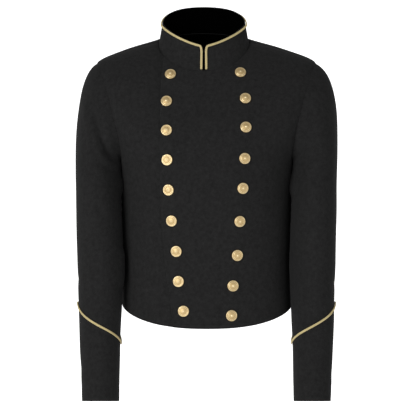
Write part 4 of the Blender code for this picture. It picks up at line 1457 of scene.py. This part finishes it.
@dataclass
class Button:
    """A domed button: a turned body with a raised border, and a plain five-pointed star on it."""

    sides: int = 48
    radius: float = 10.6
    # Each row: radius, height, and the share of painted shade in the brass there, darker in the grooves and down the
    # rim toward the cloth.
    outline: tuple[tuple[float, float, float], ...] = (
        (9.6, 0.0, 0.6),
        (10.35, 0.5, 0.4),
        (10.6, 1.2, 0.2),
        (10.55, 1.8, 0.0),
        (10.2, 2.5, 0.0),
        (9.6, 2.95, 0.0),
        (8.9, 3.05, 0.1),
        (8.35, 2.85, 0.7),
        (8.0, 2.8, 0.9),
        (7.7, 3.05, 0.5),
        (7.4, 3.5, 0.0),
        (7.0, 3.75, 0.0),
        (6.6, 3.65, 0.4),
        (6.3, 3.6, 0.8),
        (5.9, 3.8, 0.6),
        (5.0, 4.1, 0.55),
        (3.8, 4.35, 0.5),
        (2.4, 4.55, 0.5),
        (1.0, 4.65, 0.5),
    )
    star_points: int = 5
    star_reach: float = 4.9
    star_waist: float = 0.42
    star_foot: float = 4.1
    star_top: float = 5.45

    def turned(self) -> bpy.types.Object:
        """The body, raised ring by ring from a circle to its outline."""
        foot = self.outline[0]
        bpy.ops.mesh.primitive_circle_add(
            vertices=self.sides, radius=foot[0] * MM, fill_type="NGON", location=(0, 0, foot[1] * MM)
        )
        piece = bpy.context.active_object
        only(piece)
        bpy.ops.object.mode_set(mode="EDIT")
        bpy.ops.mesh.select_mode(type="EDGE")
        bpy.ops.mesh.select_all(action="SELECT")
        bpy.ops.mesh.extrude_edges_move(TRANSFORM_OT_translate={"value": (0, 0, 0)})
        radius, height = foot[0], foot[1]
        for index, (wide, high, _) in enumerate(self.outline[1:]):
            if index:
                bpy.ops.mesh.extrude_edges_move(TRANSFORM_OT_translate={"value": (0, 0, 0)})
            ratio = wide / radius
            bpy.ops.transform.translate(value=(0, 0, (high - height) * MM))
            bpy.ops.transform.resize(value=(ratio, ratio, 1.0), center_override=(0, 0, high * MM))
            radius, height = wide, high
        bpy.ops.mesh.edge_face_add()
        bpy.ops.mesh.select_all(action="SELECT")
        bpy.ops.mesh.normals_make_consistent(inside=False)
        bpy.ops.object.mode_set(mode="OBJECT")
        return piece

    def star(self) -> bpy.types.Object:
        """The star: a circle of ten points, every other one drawn in, raised to a middle point."""
        bpy.ops.mesh.primitive_circle_add(
            vertices=2 * self.star_points, radius=self.star_reach * MM, fill_type="NGON", location=(0, 0, self.star_foot * MM)
        )
        piece = bpy.context.active_object
        only(piece)
        for vertex in piece.data.vertices:
            vertex.select = vertex.index % 2 == 1
        bpy.ops.object.mode_set(mode="EDIT")
        bpy.ops.mesh.select_mode(type="VERT")
        bpy.ops.transform.resize(
            value=(self.star_waist, self.star_waist, 1.0), center_override=(0, 0, self.star_foot * MM)
        )
        bpy.ops.mesh.select_all(action="SELECT")
        bpy.ops.mesh.extrude_region_move(TRANSFORM_OT_translate={"value": (0, 0, 0.35 * MM)})
        bpy.ops.mesh.select_mode(type="FACE")
        bpy.ops.mesh.poke(offset=(self.star_top - self.star_foot - 0.35) * MM)
        bpy.ops.mesh.select_all(action="SELECT")
        bpy.ops.mesh.normals_make_consistent(inside=False)
        bpy.ops.object.mode_set(mode="OBJECT")
        return piece

    def pattern(self) -> bpy.types.Mesh:
        """The whole button at the origin, facing +Z, to be copied, with the painted shade for its brass kept on its
        points.
        """
        body, star = self.turned(), self.star()
        for piece in (body, star):
            only(piece)
            bpy.ops.object.transform_apply(location=True, rotation=True, scale=True)
        body.data.shade_smooth()
        star.data.shade_flat()
        only(body)
        star.select_set(True)
        bpy.ops.object.join()
        mesh = body.data.copy()
        bpy.data.objects.remove(body, do_unlink=True)
        place = np.array([v.co for v in mesh.vertices]) / MM
        radii = [row[0] for row in self.outline[::-1]]
        # Painted shade for the brass: from the outline's third column, and darker round the star's foot, none on the
        # star's faces above it.
        shade_share = np.interp(np.hypot(place[:, 0], place[:, 1]), radii, [row[2] for row in self.outline[::-1]])
        raised = np.arange(len(place)) >= self.sides * len(self.outline)
        shade_share[raised] = np.where(place[raised, 2] < self.star_foot + 0.2, 0.9, 0.0)
        mesh.attributes.new("hollow_shade", "FLOAT", "POINT").data.foreach_set("value", shade_share.astype(np.float32))
        mesh.materials.clear()
        mesh.materials.append(BRASS.material())
        return mesh

    @staticmethod
    def place_of(node: str) -> tuple[Vector, Vector]:
        """The middle of a CAD button's flat back, and the way that it faces."""
        mesh = frame["nodes"][node].data
        points = np.array([v.co for v in mesh.vertices])
        middle = points.mean(axis=0)
        spread = np.linalg.svd(points - middle, full_matrices=False)[2]
        facing = spread[2] if spread[2][1] < 0 else -spread[2]
        depth = (points - middle) @ facing
        back = points[depth < depth.min() + 0.0002]
        return Vector((back.min(axis=0) + back.max(axis=0)) / 2), Vector(facing)

    def build_all(self, nodes: Sequence[str]) -> list[bpy.types.Object]:
        """A copy of the button on each of these CAD buttons' places.

        Args:
            nodes: the CAD nodes' names.

        Returns:
            The new pieces.
        """
        pattern = self.pattern()
        made = []
        for index, node in enumerate(nodes):
            place, facing = self.place_of(node)
            mesh = pattern.copy()
            mesh.name = f"{node}_brass"
            turn = facing.to_track_quat("Z", "Y").to_matrix().to_4x4()
            turn = turn @ Vector((0, 0, 1)).to_track_quat("Z", "Y").to_matrix().to_4x4()
            spin = math.radians((index * 47) % 31 - 15)
            axis = Vector((0, 0, 1))
            from_axis = Vector((math.cos(spin), math.sin(spin), 0))
            across = axis.cross(from_axis)
            spun = np.array([[from_axis.x, across.x, 0.0], [from_axis.y, across.y, 0.0], [0.0, 0.0, 1.0]])
            points = np.array([v.co for v in mesh.vertices]) @ spun.T
            world = points @ np.array(turn.to_3x3()).T + np.array(place)
            mesh.vertices.foreach_set("co", world.astype(np.float32).ravel())
            mesh.update()
            made.append(dressed(linked(mesh.name, mesh), [node]))
        bpy.data.meshes.remove(pattern)
        return made


@dataclass
class Studio:
    """A plain pale floor, soft lights, and the camera at the photograph's viewing angle."""

    camera_x: float = 0.003
    camera_y: float = -3.0
    camera_z: float = -0.202
    pitch_down: float = 2.405
    lens: float = 133.14
    floor_z: float = -1.95
    floor_half: float = 26.0
    backdrop_half: float = 9.0
    backdrop_y: float = 6.0
    world: float = 0.24

    def build(self) -> None:
        """The floor and backdrop, the lights, the world and the camera."""
        far, half, low, back = self.floor_half, self.backdrop_half, self.floor_z, self.backdrop_y
        self.stage("floor", [(-far, -far, low), (far, -far, low), (far, back, low), (-far, back, low)])
        self.stage("backdrop", [(-half, back, low), (half, back, low), (half, back, half), (-half, back, half)])
        self.light("key", (-1.9, -2.7, 0.20), (0, 0, -0.3), 1.8, 84.0)
        self.light("fill", (2.3, -2.3, -0.2), (0, 0, -0.3), 2.4, 27.0)
        world = bpy.data.worlds.new("studio")
        world.use_nodes = True
        back = world.node_tree.nodes["Background"]
        back.inputs["Color"].default_value = (1.0, 1.0, 1.0, 1.0)
        back.inputs["Strength"].default_value = self.world
        bpy.context.scene.world = world
        bpy.context.scene.view_settings.view_transform = "Standard"
        camera = bpy.data.objects.new("camera", bpy.data.cameras.new("camera"))
        camera.data.sensor_width = 36.0
        camera.data.lens = self.lens
        camera.location = (self.camera_x, self.camera_y, self.camera_z)
        camera.rotation_euler = (math.radians(90.0 - self.pitch_down), 0.0, 0.0)
        bpy.context.scene.collection.objects.link(camera)
        bpy.context.scene.camera = camera

    @staticmethod
    def stage(name: str, corners: Sequence[tuple[float, float, float]]) -> None:
        """A flat pale sheet that isn't part of the jacket."""
        mesh = bpy.data.meshes.new(name)
        mesh.from_pydata(corners, [], [(0, 1, 2, 3)])
        material, _, _, shader = new_material(f"pale_{name}")
        shader.inputs["Base Color"].default_value = (0.93, 0.93, 0.93, 1.0)
        shader.inputs["Roughness"].default_value = 1.0
        shader.inputs["Specular IOR Level"].default_value = 0.0
        shader.inputs["Emission Color"].default_value = (1.0, 1.0, 1.0, 1.0)
        shader.inputs["Emission Strength"].default_value = 0.85 if name == "backdrop" else 0.12
        mesh.materials.append(material)
        linked(name, mesh)

    @staticmethod
    def light(name: str, place: tuple[float, float, float], at: tuple[float, float, float], size: float, power: float) -> None:
        """A square soft light.

        Args:
            name: its name.
            place: where it stands, in metres.
            at: what it faces.
            size: its side.
            power: its power in watts.
        """
        data = bpy.data.lights.new(name, "AREA")
        data.size = size
        data.energy = power
        lamp = bpy.data.objects.new(name, data)
        lamp.visible_camera = False
        lamp.location = place
        lamp.rotation_euler = (Vector(at) - Vector(place)).to_track_quat("-Z", "Y").to_euler()
        bpy.context.scene.collection.objects.link(lamp)


def main() -> None:
    """Builds the jacket's pieces in order, then the studio."""
    logging.basicConfig(level=logging.INFO, format="%(message)s")
    trunk = Trunk()
    trunk.front(Side.RIGHT)
    trunk.front(Side.LEFT)
    trunk.back()
    Sleeve(Side.LEFT, swell=1.02).build()
    Sleeve(Side.RIGHT, swell=0.80).build()
    Collar().build()
    Button().build_all(sorted(name for name in frame["nodes"] if name.startswith("button_")))
    Studio().build()


if __name__ == "__main__":
    main()
